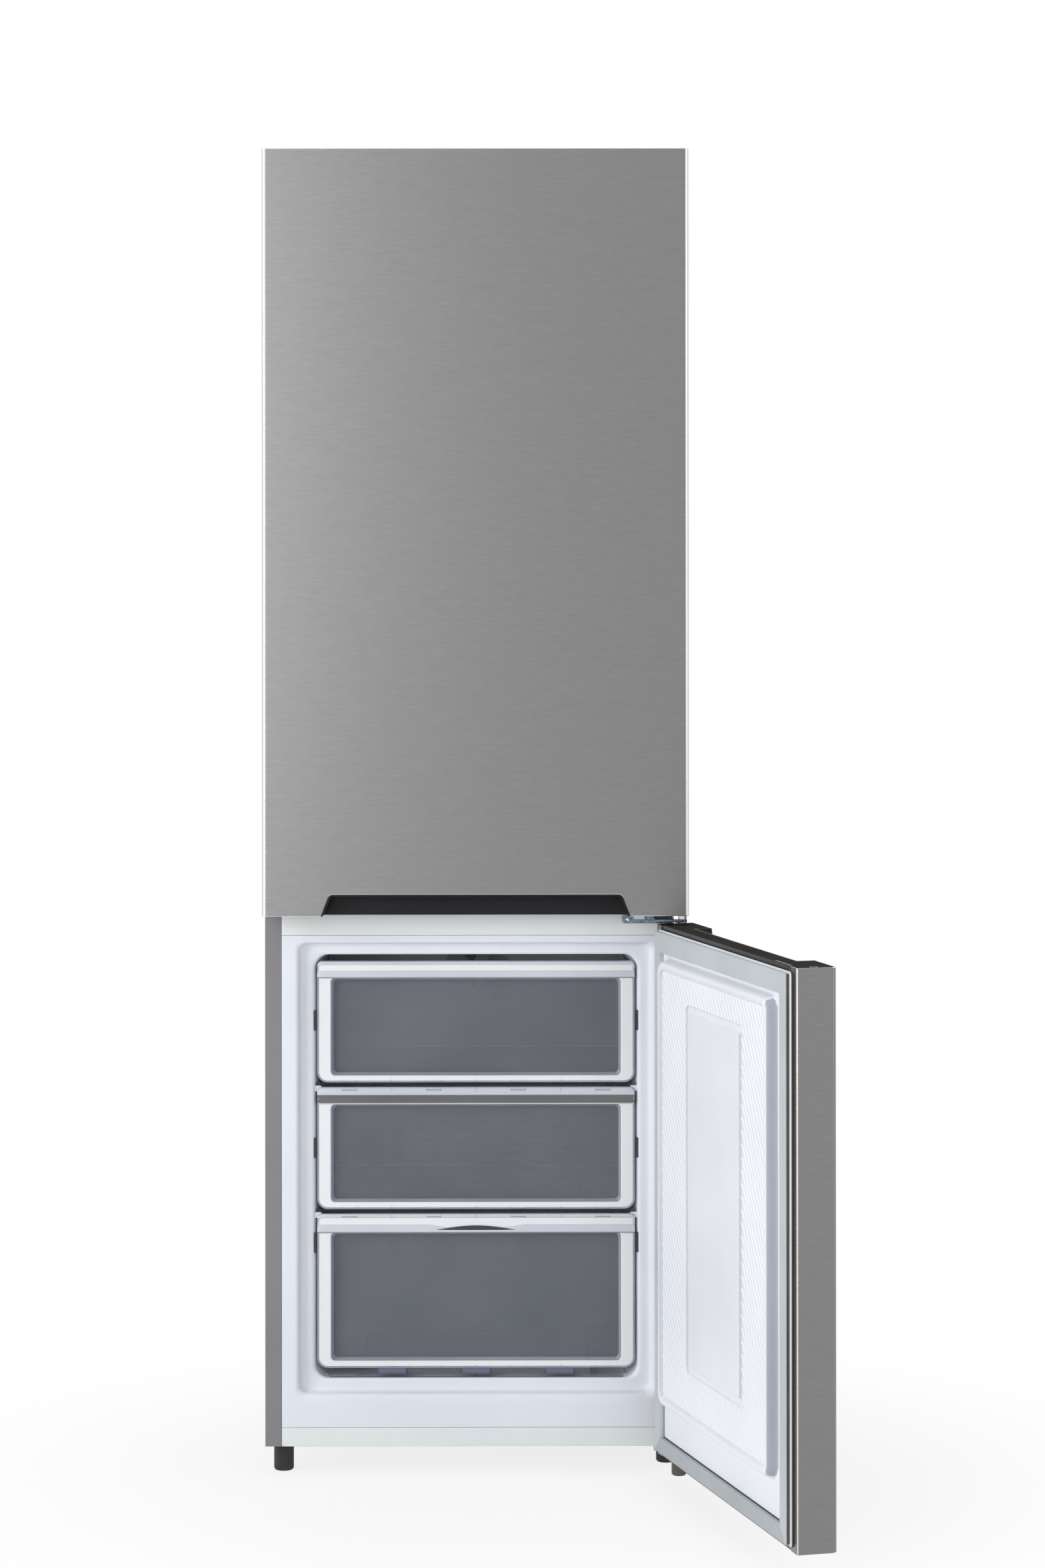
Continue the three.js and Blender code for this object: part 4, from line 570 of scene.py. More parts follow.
def freezer_lining():
    """White liner: a flange, a soft step round the mouth, and walls that rise over the compressor room."""
    liner, top, bottom = Box("freezer_liner"), Box("drawer_top_front"), Box("drawer_bottom_front")
    slide_gap, over_drawers, under_drawers = 5 * MM, 9.5 * MM, 14 * MM
    opening = (top.x0 - slide_gap, top.x1 + slide_gap, bottom.z0 - under_drawers, top.z1 + over_drawers)
    side_lip, top_lip, bottom_lip = 19 * MM, 16.5 * MM, 18 * MM
    mouth = (opening[0] - side_lip, opening[1] + side_lip, opening[2] - bottom_lip, opening[3] + top_lip)
    front, step, back = liner.y0, top.y0, Box("fan_motor").y1 + 0.3 * MM
    corner, mouth_corner = 20, 12
    throat = grown(opening, -3.4, 0)
    walls = grown(opening, -9, 0)
    over_hump = (*walls[:2], Box("freezer_rear_cover").z0 - 0.3 * MM, walls[3])
    hump_front = Box("drawer_bottom_basket").y1 + 6 * MM
    mesh = loft([
        (liner.rect, 0.5, front + LINER_SHEET, 0),
        (liner.rect, 0.5, front, 1),
        (grown(mouth, 1), mouth_corner + 1, front, 6),
        (mouth, mouth_corner, step, 8),
        (opening, corner, step, 5),
        (throat, corner, step + 8 * MM, 0),
        (throat, corner, top.y1 + 1 * MM, 0),
        (walls, corner, top.y1 + 9 * MM, 0),
        (walls, corner, hump_front, 0),
        (over_hump, corner, hump_front + 5 * MM, 5),
        (over_hump, corner, back, 10),
    ])
    show("freezer_lining", mesh, LINER, "cabinet", "freezer_liner")
    return opening, step


def both_sides(name, material, middle, left, *rest):
    """A block at the left of the cabinet and its mirror image at the right; the name takes the side for SIDE."""
    right = (2 * middle - left[1], 2 * middle - left[0])
    for side, span in (("left", left), ("right", right)):
        show(name.replace("SIDE", side), block(span, *rest), material)


def freezer_fittings(opening, front):
    """What the liner carries: ledges, a dark sheet of painted shade on the floor and dark slots of painted shade
    beside the drawers.
    """
    x0, x1, floor, _ = opening
    middle = (x0 + x1) / 2
    basket = Box("drawer_top_basket")
    for deck in ("upper", "lower"):
        shelf = Box(f"freezer_shelf_{deck}")
        ledge = (x0, basket.x0 - 5 * MM), (shelf.y0, shelf.y1), near(shelf.z0, -8.3, -0.3), 1.5
        both_sides(f"freezer_ledge_{deck}_SIDE", LINER, middle, *ledge)
    # a thin dark sheet of painted shade on the floor in front of the lowest basket
    floor_shade = block((x0 + 12 * MM, x1 - 12 * MM), (front + 6 * MM, basket.y0 - 0.6 * MM), near(floor, 0, 0.15), 0)
    show("freezer_floor_painted_shade", floor_shade, FLOOR_SHADE)
    for number, (drawer, drop) in enumerate((("top", 69.5), ("middle", 71.5), ("bottom", 26.5)), 1):
        # dark blocks of painted shade where the wall has slots
        slot = near(x0, -1, 3.4), near(front, 1.5, 9), near(Box(f"drawer_{drawer}_front").z1, -drop - 28, -drop), 0.2
        both_sides(f"wall_slot_SIDE_{number}", DARK_PRINT_AND_SHADE, middle, *slot)


def fridge_lining():
    """White liner with ledges under the glass shelves."""
    liner, shelf = Box("fridge_liner"), Box("shelf_upper")
    gap = 0.3 * MM
    opening = (shelf.x0 - gap, shelf.x1 + gap, Box("crisper_drawer").z0 - gap, Box("control_box").z1 + gap)
    front, back = liner.y0, Box("air_duct").y1 + gap
    mesh = loft([
        (liner.rect, 0.5, front + LINER_SHEET, 0),
        (liner.rect, 0.5, front, 0),
        (opening, 24, front, 7),
        (opening, 24, back, 12),
    ])
    show("fridge_lining", mesh, LINER, "cabinet", "fridge_liner")
    for name in SHELVES:
        glass = Box(name)
        ledge = near(opening[0], 0, 12), (glass.y0 + 12.3 * MM, back), near(glass.z1, -14.3, -6.3), 1.5
        both_sides(f"{name}_ledge_SIDE", LINER, shelf.x, *ledge)


# ---- Fridge fittings

def glass_shelf(name):
    """A glass plate in a white front trim."""
    shelf = Box(name)
    trim_depth, trim_lip, thickness = 12 * MM, 2 * MM, 4 * MM
    front, back, low, high = shelf.y0, shelf.y0 + trim_depth, shelf.z0, shelf.z1
    under, top = high - trim_lip - thickness, high - trim_lip
    plate = block((shelf.x0, shelf.x1), (back, shelf.y1), (under, top), 0.6)
    show(f"{name}_glass", plate, GLASS, "cabinet", name)
    outline = [
        (front, low + 3 * MM), (front + 2 * MM, low), (back, low), (back, under), (back, high),
        (front + 3 * MM, high), (front, high - 3 * MM),
    ]
    show(f"{name}_trim", prism(outline, "x", shelf.x0, shelf.x1, 0.8), WHITE)


def control_details():
    """A lamp lens on the control box, ticks round the knob and a pointer on it."""
    housing, knob = Box("control_box"), Box("thermostat_knob")
    front, radius = housing.y0, (knob.x1 - knob.x0) / 2
    lens = block((housing.x0 + 14 * MM, knob.x0 - 12 * MM), near(front, -0.4, 3),
                 (housing.z0 + 5 * MM, housing.z1 - 9 * MM), 1.5)
    show("control_lens", lens, LENS_AND_EDGE_HIGHLIGHT)
    pointer = block(near(knob.x, -0.9, 0.9), near(knob.y0, -0.2, 1), (knob.z + 2 * MM, knob.z + radius - 2 * MM), 0.3)
    show("thermostat_pointer", pointer, DARK_PRINT_AND_SHADE, "knob")
    ticks = []
    for turn in range(-135, 136, 45):
        tick = block(near(0, -0.4, 0.4), near(front, -0.1, 0.5), near(radius, 0.8, 2.6), 0.1)
        tick.transform(Matrix.Translation((knob.x, 0, knob.z)) @ Matrix.Rotation(radians(turn), 4, "Y"))
        ticks.append(tick)
    show("thermostat_ticks", merged(*ticks), DARK_PRINT_AND_SHADE)


# ---- Freezer drawers

BANDS = {"drawer_top": 23 * MM, "drawer_middle": 24 * MM, "drawer_bottom": 26 * MM}  # heights
LIP_HEIGHT = 11 * MM
SCOOP_HALF, SCOOP_DEPTH = 66 * MM, 2 * MM  # of the hollow in the bottom drawer's band
SCOOP_SHARE, SCOOP_SPREAD = 0.42, 0.3  # its middle and half height, as shares of the band's height

# Profiles of the bands from below to above: (depth behind the face, share of the height)
ROLLED = (
    (10, 0), (1.0, 0), (0.1, 0.04), (0, 0.1), (0.9, 0.3), (2.1, 0.55), (2.3, 0.72), (1.2, 0.78), (0.3, 0.82),
    (0.3, 0.9), (1.2, 0.96), (3, 1), (10, 1),
)
LIP = ((10, 0), (0.6, 0), (0, 0.12), (0, 0.4), (0.6, 0.72), (2, 0.95), (4, 1), (10, 1))
UNDER_LIP = ((10, 0), (1.2, 0), (0.2, 0.08), (0.1, 0.2), (1.4, 0.5), (0.8, 0.85), (0.6, 1), (10, 1))


def drawer_border(drawer, face, low):
    """The frosted border round the window, with a sloping edge inside and a clear rim outside."""
    side, bottom = 19 * MM, 9.5 * MM
    rim, corner, small, slope = 2.2, 15, 6, 4
    front, back = face.y0 + 1.5 * MM, face.y1
    window = (face.x0 + side, face.x1 - side, face.z0 + bottom, low)
    inside = grown(face.rect, -rim)
    border = [
        (inside, corner - rim, back, 0.5, small),
        (inside, corner - rim, front, 1.5, small),
        (window, small, front, 1.2),
        (grown(window, -slope), small, back - 1 * MM, 0.3),
    ]
    piece = show(f"{drawer}_border", loft(border, closed=True), FROSTED, drawer, f"{drawer}_front")
    sloping = grown(window, 0.2)
    tint(piece, BEVELLED, lambda part: part.center.y > front + 1 * MM and within(part.center, sloping))
    rim_front, inside = front - 0.4 * MM, grown(face.rect, 0.05 - rim)
    edge = [
        (face.rect, corner, back, 0.3, small),
        (face.rect, corner, rim_front, 1, small),
        (inside, corner - rim, rim_front, 0.6, small),
        (inside, corner - rim, back, 0.3, small),
    ]
    show(f"{drawer}_rim", loft(edge, closed=True), RIM, drawer)
    pane = [(grown(window, -share * slope), small, back - depth * MM, 0) for share, depth in ((0.6, 3), (0.5, 5))]
    show(f"{drawer}_window", loft(pane, open_start=False), CLEAR, drawer)


def basket_edge_highlights(drawer):
    """Painted highlights on the clear basket's edges: along its floor and up its rear corners."""
    basket = Box(f"{drawer}_basket")
    inset, radius = 2.5 * MM, 1.0 * MM
    left, right = basket.x0 + inset, basket.x1 - inset
    front, back = basket.y0 + inset, basket.y1 - inset
    floor, top = basket.z0 + inset, basket.z1 - inset
    lines = [[(left, back, floor), (right, back, floor)]]
    lines += [[(x, front, floor), (x, back, floor), (x, back, top), (x, front, top)] for x in (left, right)]
    # pale tubes that paint highlights along the basket's edges
    show(f"{drawer}_basket_edge_highlights", merged(*(tube(line, radius, 6) for line in lines)), LENS_AND_EDGE_HIGHLIGHT, drawer)


def swept_band(face, z_low, z_high, profile, end_radius, scooped=False):
    """A band's profile drawn from side to side with rounded ends, on wish with a scoop in its middle."""
    steps, end_steps = 48, 6
    width = face.x1 - face.x0
    near_ends = [end_radius * (1 - cos(pi / 2 * k / end_steps)) for k in range(end_steps + 1)]
    inner = [end_radius + (width - 2 * end_radius) * k / steps for k in range(1, steps)]
    rings = []
    for place in near_ends + inner + [width - p for p in reversed(near_ends)]:
        edge = min(place, width - place)
        drop = end_radius - sqrt(max(end_radius ** 2 - max(end_radius - edge, 0) ** 2, 0))
        height = z_high - drop - z_low
        dent = SCOOP_DEPTH * max(0, 1 - ((place - width / 2) / SCOOP_HALF) ** 2) if scooped else 0
        ring = []
        for depth, share in profile:
            deeper = dent * max(0, 1 - abs(share - SCOOP_SHARE) / SCOOP_SPREAD)
            ring.append((face.x0 + place, face.y0 + depth * MM + deeper, z_low + height * share))
        rings.append(ring)
    return mesh_of(skin(rings))


def grip_shadow(face, low):
    """A dark lens of painted shadow in the hollow under the bottom drawer's band, from side to side."""
    sag, height, steps = 0.6 * MM, 7 * MM, 32
    base = low + 2.5 * MM
    outline = []
    for k in range(2 * steps):
        share = 1 - 2 * k / steps if k <= steps else 2 * (k - steps) / steps - 1
        full = 1 - share ** 2
        rise = -sag * full if k <= steps else height * full ** 1.5
        outline.append((face.x - share * SCOOP_HALF, base + rise))
    return prism(outline, "y", *near(face.y0, 0.2, 3))


def drawer_handle(drawer, face, low):
    """The handle band over the window, with a fine line along its lower edge, a painted shadow under the band on the
    top and bottom drawers. Each drawer has its own.
    """
    radius = 7 * MM
    # the line is a painted shadow under the band
    line, line_material = (low - 0.9 * MM, low + 0.1 * MM), LIP_SHADOW
    if drawer == "drawer_middle":
        split = face.z1 - LIP_HEIGHT
        show("drawer_middle_lip", swept_band(face, split, face.z1, LIP, radius), BAND, drawer)
        # grey band under the lip: a painted dark reflection
        show("drawer_middle_band", swept_band(face, low + 1.4 * MM, split, UNDER_LIP, 0.5 * MM), DARK_REFLECTION_BAND, drawer)
        line, line_material = near(low, 0, 1.6), BAND
    else:
        scooped = drawer == "drawer_bottom"
        show(f"{drawer}_band", swept_band(face, low, face.z1, ROLLED, radius, scooped), BAND, drawer)
        if scooped:
            # a dark lens of painted shadow in the band's scoop
            show("drawer_bottom_grip_shadow", grip_shadow(face, low), DARK_PRINT_AND_SHADE, drawer)
    line = block((face.x0 + 1 * MM, face.x1 - 1 * MM), near(face.y0, 0.7, 6), line, 0.3)
    show(f"{drawer}_band_line", line, line_material, drawer)


def drawer_marks(drawer, face):
    """Clip marks in the upper lip and the lower edge, and fine joint lines between them."""
    pitch, half = 119 * MM, 10 * MM
    rows = [("lower", face.z0 + 1.2 * MM, 1.2, face.y0 + 0.6 * MM)]
    if drawer != "drawer_top":
        rows.append(("upper", face.z1 - 4.5 * MM, 1.5, face.y0 - 0.1 * MM))
    for row, z, height, y in rows:
        marks = []
        for number in range(4):
            x = face.x + (number - 1.5) * pitch
            marks.append(block((x - half, x + half), near(y, 0, 2), near(z, 0, height), 0.3))
            for end in (x - half, x + half):
                marks.append(block(near(end, -0.4, 0.4), near(y, -0.05, 2), near(z, -0.8, height + 0.8), 0.1))
        for x in (face.x - pitch, face.x, face.x + pitch):
            marks.append(block(near(x, -0.3, 0.3), near(y, 0, 2), near(z, -1, 3), 0.1))
        show(f"{drawer}_clips_{row}", merged(*marks), BEVELLED, drawer)


def drawer_feet():
    """Three pads under the bottom drawer's front, darkened with painted shade."""
    face, basket = Box("drawer_bottom_front"), Box("drawer_bottom_basket")
    depth, height = near(basket.y0, -7, 1), near(face.z0, -8.5, 0.5)
    pads = [block(near(face.x, middle - 20.5, middle + 20.5), depth, height, 2) for middle in (-118, 0, 118)]
    show("drawer_bottom_pads", merged(*pads), PAD_SHADE, "drawer_bottom")


def build_drawers():
    for drawer, band in BANDS.items():
        face = Box(f"{drawer}_front")
        low = face.z1 - band
        drawer_border(drawer, face, low)
        drawer_handle(drawer, face, low)
        drawer_marks(drawer, face)
        basket_edge_highlights(drawer)
        basket = dressed(f"{drawer}_basket", BASKET, 0.8)
        # the side walls get a painted reflection
        tint(basket, BASKET_SIDE_REFLECTION, lambda face: abs(face.normal.x) > 0.8)
    drawer_feet()


# ---- Doors

DOOR_SHEET = 1.2 * MM
DOOR_BEND = 5.5 * MM
BACK_BEND = 3.2 * MM
BEND_STEPS = 12
FLAT_FROM = DOOR_BEND + 2 * MM  # the flat front's distance from the door's side
RETURN_LIP = 22 * MM
SHEET_EDGE = 0.9 * MM
# Where the sheet gets a painted highlight, as a share of a face's unit normal: across on the bends, upright on the
# rims
BRIGHT_FRONT, BRIGHT_BACK, BRIGHT_RIM = (sin(radians(7)), sin(radians(74))), (0.5, 0.87), (0.2, 0.98)
UPRIGHT = 0.1  # below this share along Z a face stands upright
GRIP_HALF, GRIP_HEIGHT, GRIP_DEPTH = 215 * MM, 30 * MM, 26 * MM
GRIP_TAPER, GRIP_CORNER, GRIP_WALL = 11.5 * MM, 5 * MM, 2 * MM
GRIP_GAP, GRIP_INSET = 0.3 * MM, 0.2 * MM  # the cut-out's gap round the trough, the trough's from the door's edge


def grip_path(middle, edge, inward, grow):
    """The finger recess from one end of its mouth to the other, with rounded far corners."""
    half = GRIP_HALF + grow
    far, deep = half - GRIP_TAPER, edge + inward * (GRIP_HEIGHT + grow)
    corner = GRIP_CORNER + grow
    points = [(middle - half, edge)]
    for side in (-1, 1):
        tip = Vector((middle + side * far, deep))
        wall = (Vector((middle + side * half, edge)) - tip).normalized() * corner
        top = Vector((-side * corner, 0))
        first, last = (wall, top) if side < 0 else (top, wall)
        for step in range(SOFT_STEPS + 1):
            t = step / SOFT_STEPS
            points.append(tuple(tip + first * (1 - t) ** 2 + last * t ** 2))
    return [*points, (middle + half, edge)]


def sheet_side(low, high, side):
    """Outer and inner plan of one folded side: a bend, the side face, a tighter bend and the lip."""
    edge = low.x if side < 0 else high.x
    paths = []
    for inset in (0.0, DOOR_SHEET):
        points = [(edge - side * FLAT_FROM, low.y + inset)]
        for start, radius, y in ((0, DOOR_BEND, low.y + DOOR_BEND), (90, BACK_BEND, high.y - BACK_BEND)):
            reach = radius - inset
            for step in range(BEND_STEPS + 1):
                angle = radians(start + 90 * step / BEND_STEPS)
                points.append((edge - side * (radius - reach * sin(angle)), y - reach * cos(angle)))
        points.append((edge - side * (DOOR_SHEET + RETURN_LIP), high.y - inset))
        paths.append(points)
    return paths


def door_skin(door, low, high, edge, inward):
    """Folded steel sheet: front with the finger recess cut out, sides and back lips."""
    bm = bmesh.new()
    known = {}

    def vert(x, y, z):
        key = (round(x, 6), round(y, 6), round(z, 6))
        if key not in known:
            known[key] = bm.verts.new((x, y, z))
        return known[key]

    def upright(a, b):
        """A face over a line of the plan, as high as the door."""
        bm.faces.new((vert(*a, low.z), vert(*b, low.z), vert(*b, high.z), vert(*a, high.z)))

    rims = []
    for side in (-1, 1):
        outer, inner = sheet_side(low, high, side)
        for a, b, c, d in zip(outer, outer[1:], inner[1:], inner):
            upright(a, b)
            upright(d, c)
            for z in (low.z, high.z):
                corners = [vert(*spot, z) for spot in (a, b, c, d)]
                bm.faces.new(corners)
                rims.append(bm.edges.get(corners[:2]))
        upright(outer[-1], inner[-1])
    left, right = low.x + FLAT_FROM, high.x - FLAT_FROM
    notch = grip_path((low.x + high.x) / 2, edge, inward, GRIP_GAP)
    far = high.z if inward > 0 else low.z
    outline = [(left, far), (left, edge), *notch, (right, edge), (right, far)]
    front, back = low.y, low.y + DOOR_SHEET
    for y in (front, back):
        bm.faces.new([vert(x, y, z) for x, z in outline])
    for (ax, az), (bx, bz) in zip(outline, outline[1:] + outline[:1]):
        if ax == bx and ax in (left, right):
            continue
        corners = [vert(ax, front, az), vert(bx, front, bz), vert(bx, back, bz), vert(ax, back, az)]
        rims.append(bm.edges.get(corners[:2]))
        bm.faces.new(corners)
    bmesh.ops.recalc_face_normals(bm, faces=bm.faces)
    bevel(bm, rims, SHEET_EDGE)
    piece = show(f"{door}_skin_shown", mesh_of(bm), STEEL, door, f"{door}_skin")
    # a painted highlight on the rims and bends of the sheet
    tint(piece, STEEL_PAINTED_HIGHLIGHT, lambda face: painted_highlight_face(face, low, high, door == "fridge_door"))
    piece.data.transform(DOOR_TURNS[door])


def painted_highlight_face(face, low, high, front_bends):
    """Whether a face gets the painted highlight: on the sheet's rounded rim, a back bend or, where wanted, a front
    bend.
    """
    across, up, y = abs(face.normal.x), abs(face.normal.z), face.center.y
    if y > high.y - BACK_BEND:
        return up < UPRIGHT and BRIGHT_BACK[0] < across < BRIGHT_BACK[1]
    on_bend = front_bends and up < UPRIGHT and BRIGHT_FRONT[0] < across < BRIGHT_FRONT[1]
    return y < low.y + DOOR_BEND and (BRIGHT_RIM[0] < up < BRIGHT_RIM[1] or on_bend)


def grip_insert(door, low, high, edge, inward):
    """The dark trough of the finger recess: walls round the cut-out and a back."""
    middle, mouth_edge, back = (low.x + high.x) / 2, edge + inward * GRIP_INSET, low.y + GRIP_DEPTH
    outer, inner = (grip_path(middle, mouth_edge, inward, -wall) for wall in (0.1 * MM, GRIP_WALL))
    trough = prism([*outer, *reversed(inner)], "y", low.y + 0.4 * MM, back - GRIP_WALL, 0.3)
    plate = prism(outer, "y", back - GRIP_WALL, back)
    show(f"{door}_grip_shown", merged(trough, plate), GRIP, door, f"{door}_grip", shut=True)


def door_shell(door, edge_is_bottom):
    """Skin, finger recess, end caps and foam of a door, whose recess is in its lower or upper edge."""
    low, high = shut_box(door, "skin")
    edge, inward = (low.z, 1) if edge_is_bottom else (high.z, -1)
    for build in (door_skin, grip_insert):
        build(door, low, high, edge, inward)
    for end in ("top", "bottom"):
        cap = dressed(f"{door}_{end}_cap", CAP, 0.6)
        # the caps' tops get painted light
        tint(cap, SATIN_GREY_AND_TOP_LIGHT, lambda face: face.normal.z > 0.7)
    shrunk_foam(f"{door}_foam", lambda point: DOOR_FOAM_GAP)


def cap_details():
    """On the open door's cap: a slot along the inner edge, a screw hole at the free end, two slits by the hinge,
    shown as dark pieces of painted shade.
    """
    low, high = shut_box("freezer_door", "top_cap")
    free, hinge, back, top = low.x, high.x, high.y, high.z
    slot = block(near(free, 33, 95), near(back, -5, -2.5), near(top, -0.95, 0.05), 0.1)
    rim = ((0, 0), (3.2, 0), (4.6, 0.05), (5.2, 0.1), (5.2, -1), (0, -1))
    hole = lathe([(radius * MM, up * MM) for radius, up in rim], (free + 9 * MM, low.y + 26 * MM, top))
    slits = [block(near(hinge, a, a + 2), near(back, -1, 0.1), near(top, -8, -2), 0.1) for a in (-16, -38)]
    show("freezer_cap_openings", merged(slot, hole, *slits), DARK_PRINT_AND_SHADE, "freezer_door", shut=True)


# From the seal's outer edge to the inner edge of its flat face, at the bottom, top, left and right
FRIDGE_GASKET_FACES = (19.4 * MM,) * 4
FREEZER_GASKET_FACES = (22 * MM, 28 * MM, 24 * MM, 24 * MM)
FREEZER_GASKET_INSET = 4 * MM  # at the free side

# Sections of a seal: (share of its width, millimetres more, share of its depth)
FLAT_FACE = (
    (0, 0.6, 0.62), (0, 0.2, 0.85), (0, 1.2, 1), (1, -1.4, 1), (1, 0, 0.9), (1, 0, 0), (1, -1, 0), (1, -1, 0.62),
)
FOLDS = ((0, 1.6, 0), (0, 1.6, 0.18), (0, 0.3, 0.32), (0, 1.8, 0.44), (0, 0.8, 0.6), (1, -2.4, 0.6), (1, -2.4, 0))


def door_gasket(door, widths, inset=0.0):
    """Four mitred lengths of magnetic seal: a flat face over bellows, with painted shade in the folds and on the
    lower length and painted light on the upward folds of the top length.
    """
    node = f"{door}_gasket"
    low, high = shut_box(door, "gasket")
    low.x += inset
    bottom, top, left, right = widths
    depth = high.y - low.y
    mitre_gap = 0.15 * MM
    for part, section, material, replaced in (("seal", FLAT_FACE, GASKET, [node]), ("bellows", FOLDS, BELLOWS_SHADE, [])):
        sides = []
        for level, edge, inward, width in (
            (True, low.z, 1, bottom), (True, high.z, -1, top), (False, low.x, 1, left), (False, high.x, -1, right),
        ):
            ends = ((low.x, 1, left), (high.x, -1, right)) if level else ((low.z, 1, bottom), (high.z, -1, top))
            rings = []
            for end, to, neighbour in ends:
                points = []
                for share, more, deep in section:
                    across, y = share * width + more * MM, low.y + depth * deep
                    run, side = end + to * (across * neighbour / width + mitre_gap), edge + inward * across
                    points.append((run, y, side) if level else (side, y, run))
                rings.append(points)
            sides.append(mesh_of(skin(rings)))
        piece = show(f"{node}_{part}", merged(*sides), material, door, *replaced)
        if part == "bellows":
            # painted light: the upward faces of the top length's folds get the pale seal grey
            tint(piece, GASKET, lambda bend: bend.normal.z > 0.3 and bend.center.z > high.z - top)
        else:
            # painted shade on the seal's lower length
            tint(piece, GASKET_LOW_SHADE, lambda bend: bend.center.z < low.z + bottom)
        piece.data.transform(DOOR_TURNS[door])


def freezer_door_lining():
    """Flange, raised panel with a soft ridge, sunk field with fine ribs, and a pad ringed by a groove."""
    low, high = shut_box("freezer_door", "liner")
    gasket_low, gasket_high = shut_box("freezer_door", "gasket")
    face = gasket_low.y - 0.3 * MM
    crest = high.y - 1.5 * MM
    floor = crest - 4.5 * MM
    groove_floor = floor - 2.6 * MM
    middle = (low.x + high.x) / 2
    flange = (low.x, high.x, low.z, high.z)
    panel = (middle - 232.5 * MM, middle + 243 * MM, low.z + 73.5 * MM, high.z - 36 * MM)
    field = grown(panel, -14.5)
    pad = (middle - 117.5 * MM, middle + 121.5 * MM, low.z + 142 * MM, high.z - 86.5 * MM)
    mesh = loft([
        (flange, 6, low.y, 0),
        (flange, 6, face, 0.6),
        (panel, 20, face, 4),
        (grown(panel, -4), 17, crest, 6),
        (grown(field, 1.5), 12, crest, 4),
        (grown(field, -1.5), 10, floor, 2),
        (pad, 11, floor, 0.6),
        (grown(pad, -2), 10, groove_floor, 0.8),
        (grown(pad, -6), 8, groove_floor, 1),
        (grown(pad, -11), 6, floor - 0.2 * MM, 0.8),
    ], open_start=False)
    lining = show("freezer_door_lining", mesh, DOOR_LINER, "freezer_door", "freezer_door_liner")

    def faces_free_side(part, slope):
        return part.center.y > face + 0.5 * MM and part.normal.x < -slope

    # painted shade on the flange's outer edge, behind the seal
    tint(lining, LINER_EDGE_SHADE, lambda part: part.center.y < face and abs(part.normal.y) < 0.5)
    # painted shade on the raised panel's wall at the free side
    tint(lining, DOOR_LINER_PAINTED_SHADE, lambda part: faces_free_side(part, 0.5) and part.center.x < field[0])
    # painted shade on the ridge's inner wall at the hinge side and on the groove's walls
    tint(lining, DOOR_LINER_SLOPE_SHADE, lambda part: faces_free_side(part, 0.3) and part.center.x > field[0])
    lining.data.transform(DOOR_TURNS["freezer_door"])
    # a black line of painted shadow between the seal and the flange, along the bottom and the hinge side
    under, _, free, hinge = FREEZER_GASKET_FACES
    left, right, sill = gasket_low.x + FREEZER_GASKET_INSET + free, gasket_high.x - hinge, gasket_low.z + under
    flush = near(face, -0.3, 0.3)
    runs = [
        block((left, right), flush, near(sill, 0, 1.8), 0.05),
        block(near(right, -1.8, 0), flush, (sill, panel[2] - 4 * MM), 0.05),
    ]
    show("freezer_door_shadow_line", merged(*runs), GASKET_SHADOW, "freezer_door", shut=True)
    ribs = field_ribs(grown(field, -3), grown(pad, 1), floor)
    show("freezer_door_field_ribs", ribs, DOOR_LINER, "freezer_door", shut=True)


def clipped(start, end, rect):
    """The share of a line that lies in a rectangle, as (from, to), or None."""
    low, high = 0.0, 1.0
    for a, b, least, most in zip(start, end, rect[::2], rect[1::2]):
        first, last = sorted(((least - a) / (b - a), (most - a) / (b - a)))
        low, high = max(low, first), min(high, last)
    return (low, high) if low < high else None


def field_ribs(field, pad, y):
    """Fine steep ribs across the field, which leave the pad free."""
    pitch, lean, shortest = 13.7 * MM, 0.8, 0.01
    half, crest_half, rise, sunk = 4.2 * MM, 1.89 * MM, 1.1 * MM, 0.1 * MM
    section = ((-half, -sunk), (-crest_half, rise), (crest_half, rise), (half, -sunk))
    shift = lean * (field[3] - field[2])
    ribs = []
    for number in range(int((field[1] - field[0] + shift) / pitch)):
        foot = field[0] - shift + number * pitch
        start, end = (foot, field[2]), (foot + shift, field[3])
        inside, hidden = clipped(start, end, field), clipped(start, end, pad)
        if not inside:
            continue
        for span in [(inside[0], hidden[0]), (hidden[1], inside[1])] if hidden else [inside]:
            if span[1] - span[0] < shortest:
                continue
            ends = [mixed(start, end, share) for share in span]
            ribs.append(mesh_of(skin([[(x + across, y + out, z) for across, out in section] for x, z in ends])))
    return merged(*ribs)


def build_doors():
    door_shell("fridge_door", True)
    door_shell("freezer_door", False)
    cap_details()
    freezer_door_lining()
    door_gasket("fridge_door", FRIDGE_GASKET_FACES)
    door_gasket("freezer_door", FREEZER_GASKET_FACES, FREEZER_GASKET_INSET)


# ---- Screws, middle hinge and feet

def screw(name, centre, radius, height, tilt, material):
    """A domed head on the cabinet."""
    dome = [
        (0, height), (radius * 0.55, height * 0.96), (radius * 0.85, height * 0.75), (radius, height * 0.3),
        (radius, 0), (0, 0),
    ]
    show(name, lathe(dome, centre, tilt, 24), material)


def middle_hinge():
    """The bracket with its bright pin collar, and the screw in its flange."""
    bracket = dressed("middle_hinge_bracket", ZINC, 0.35)
    tint(bracket, CHROME, lambda face: (face.center - FREEZER_PIN).xy.length < 9.6 * MM)
    flange = Box("middle_hinge_bracket")
    place = (flange.x0 + 8.3 * MM, flange.y1 - 2.2 * MM, flange.z0 + 15.7 * MM)
    screw("middle_hinge_screw", place, 3.4 * MM, 1.8 * MM, 90, CHROME)


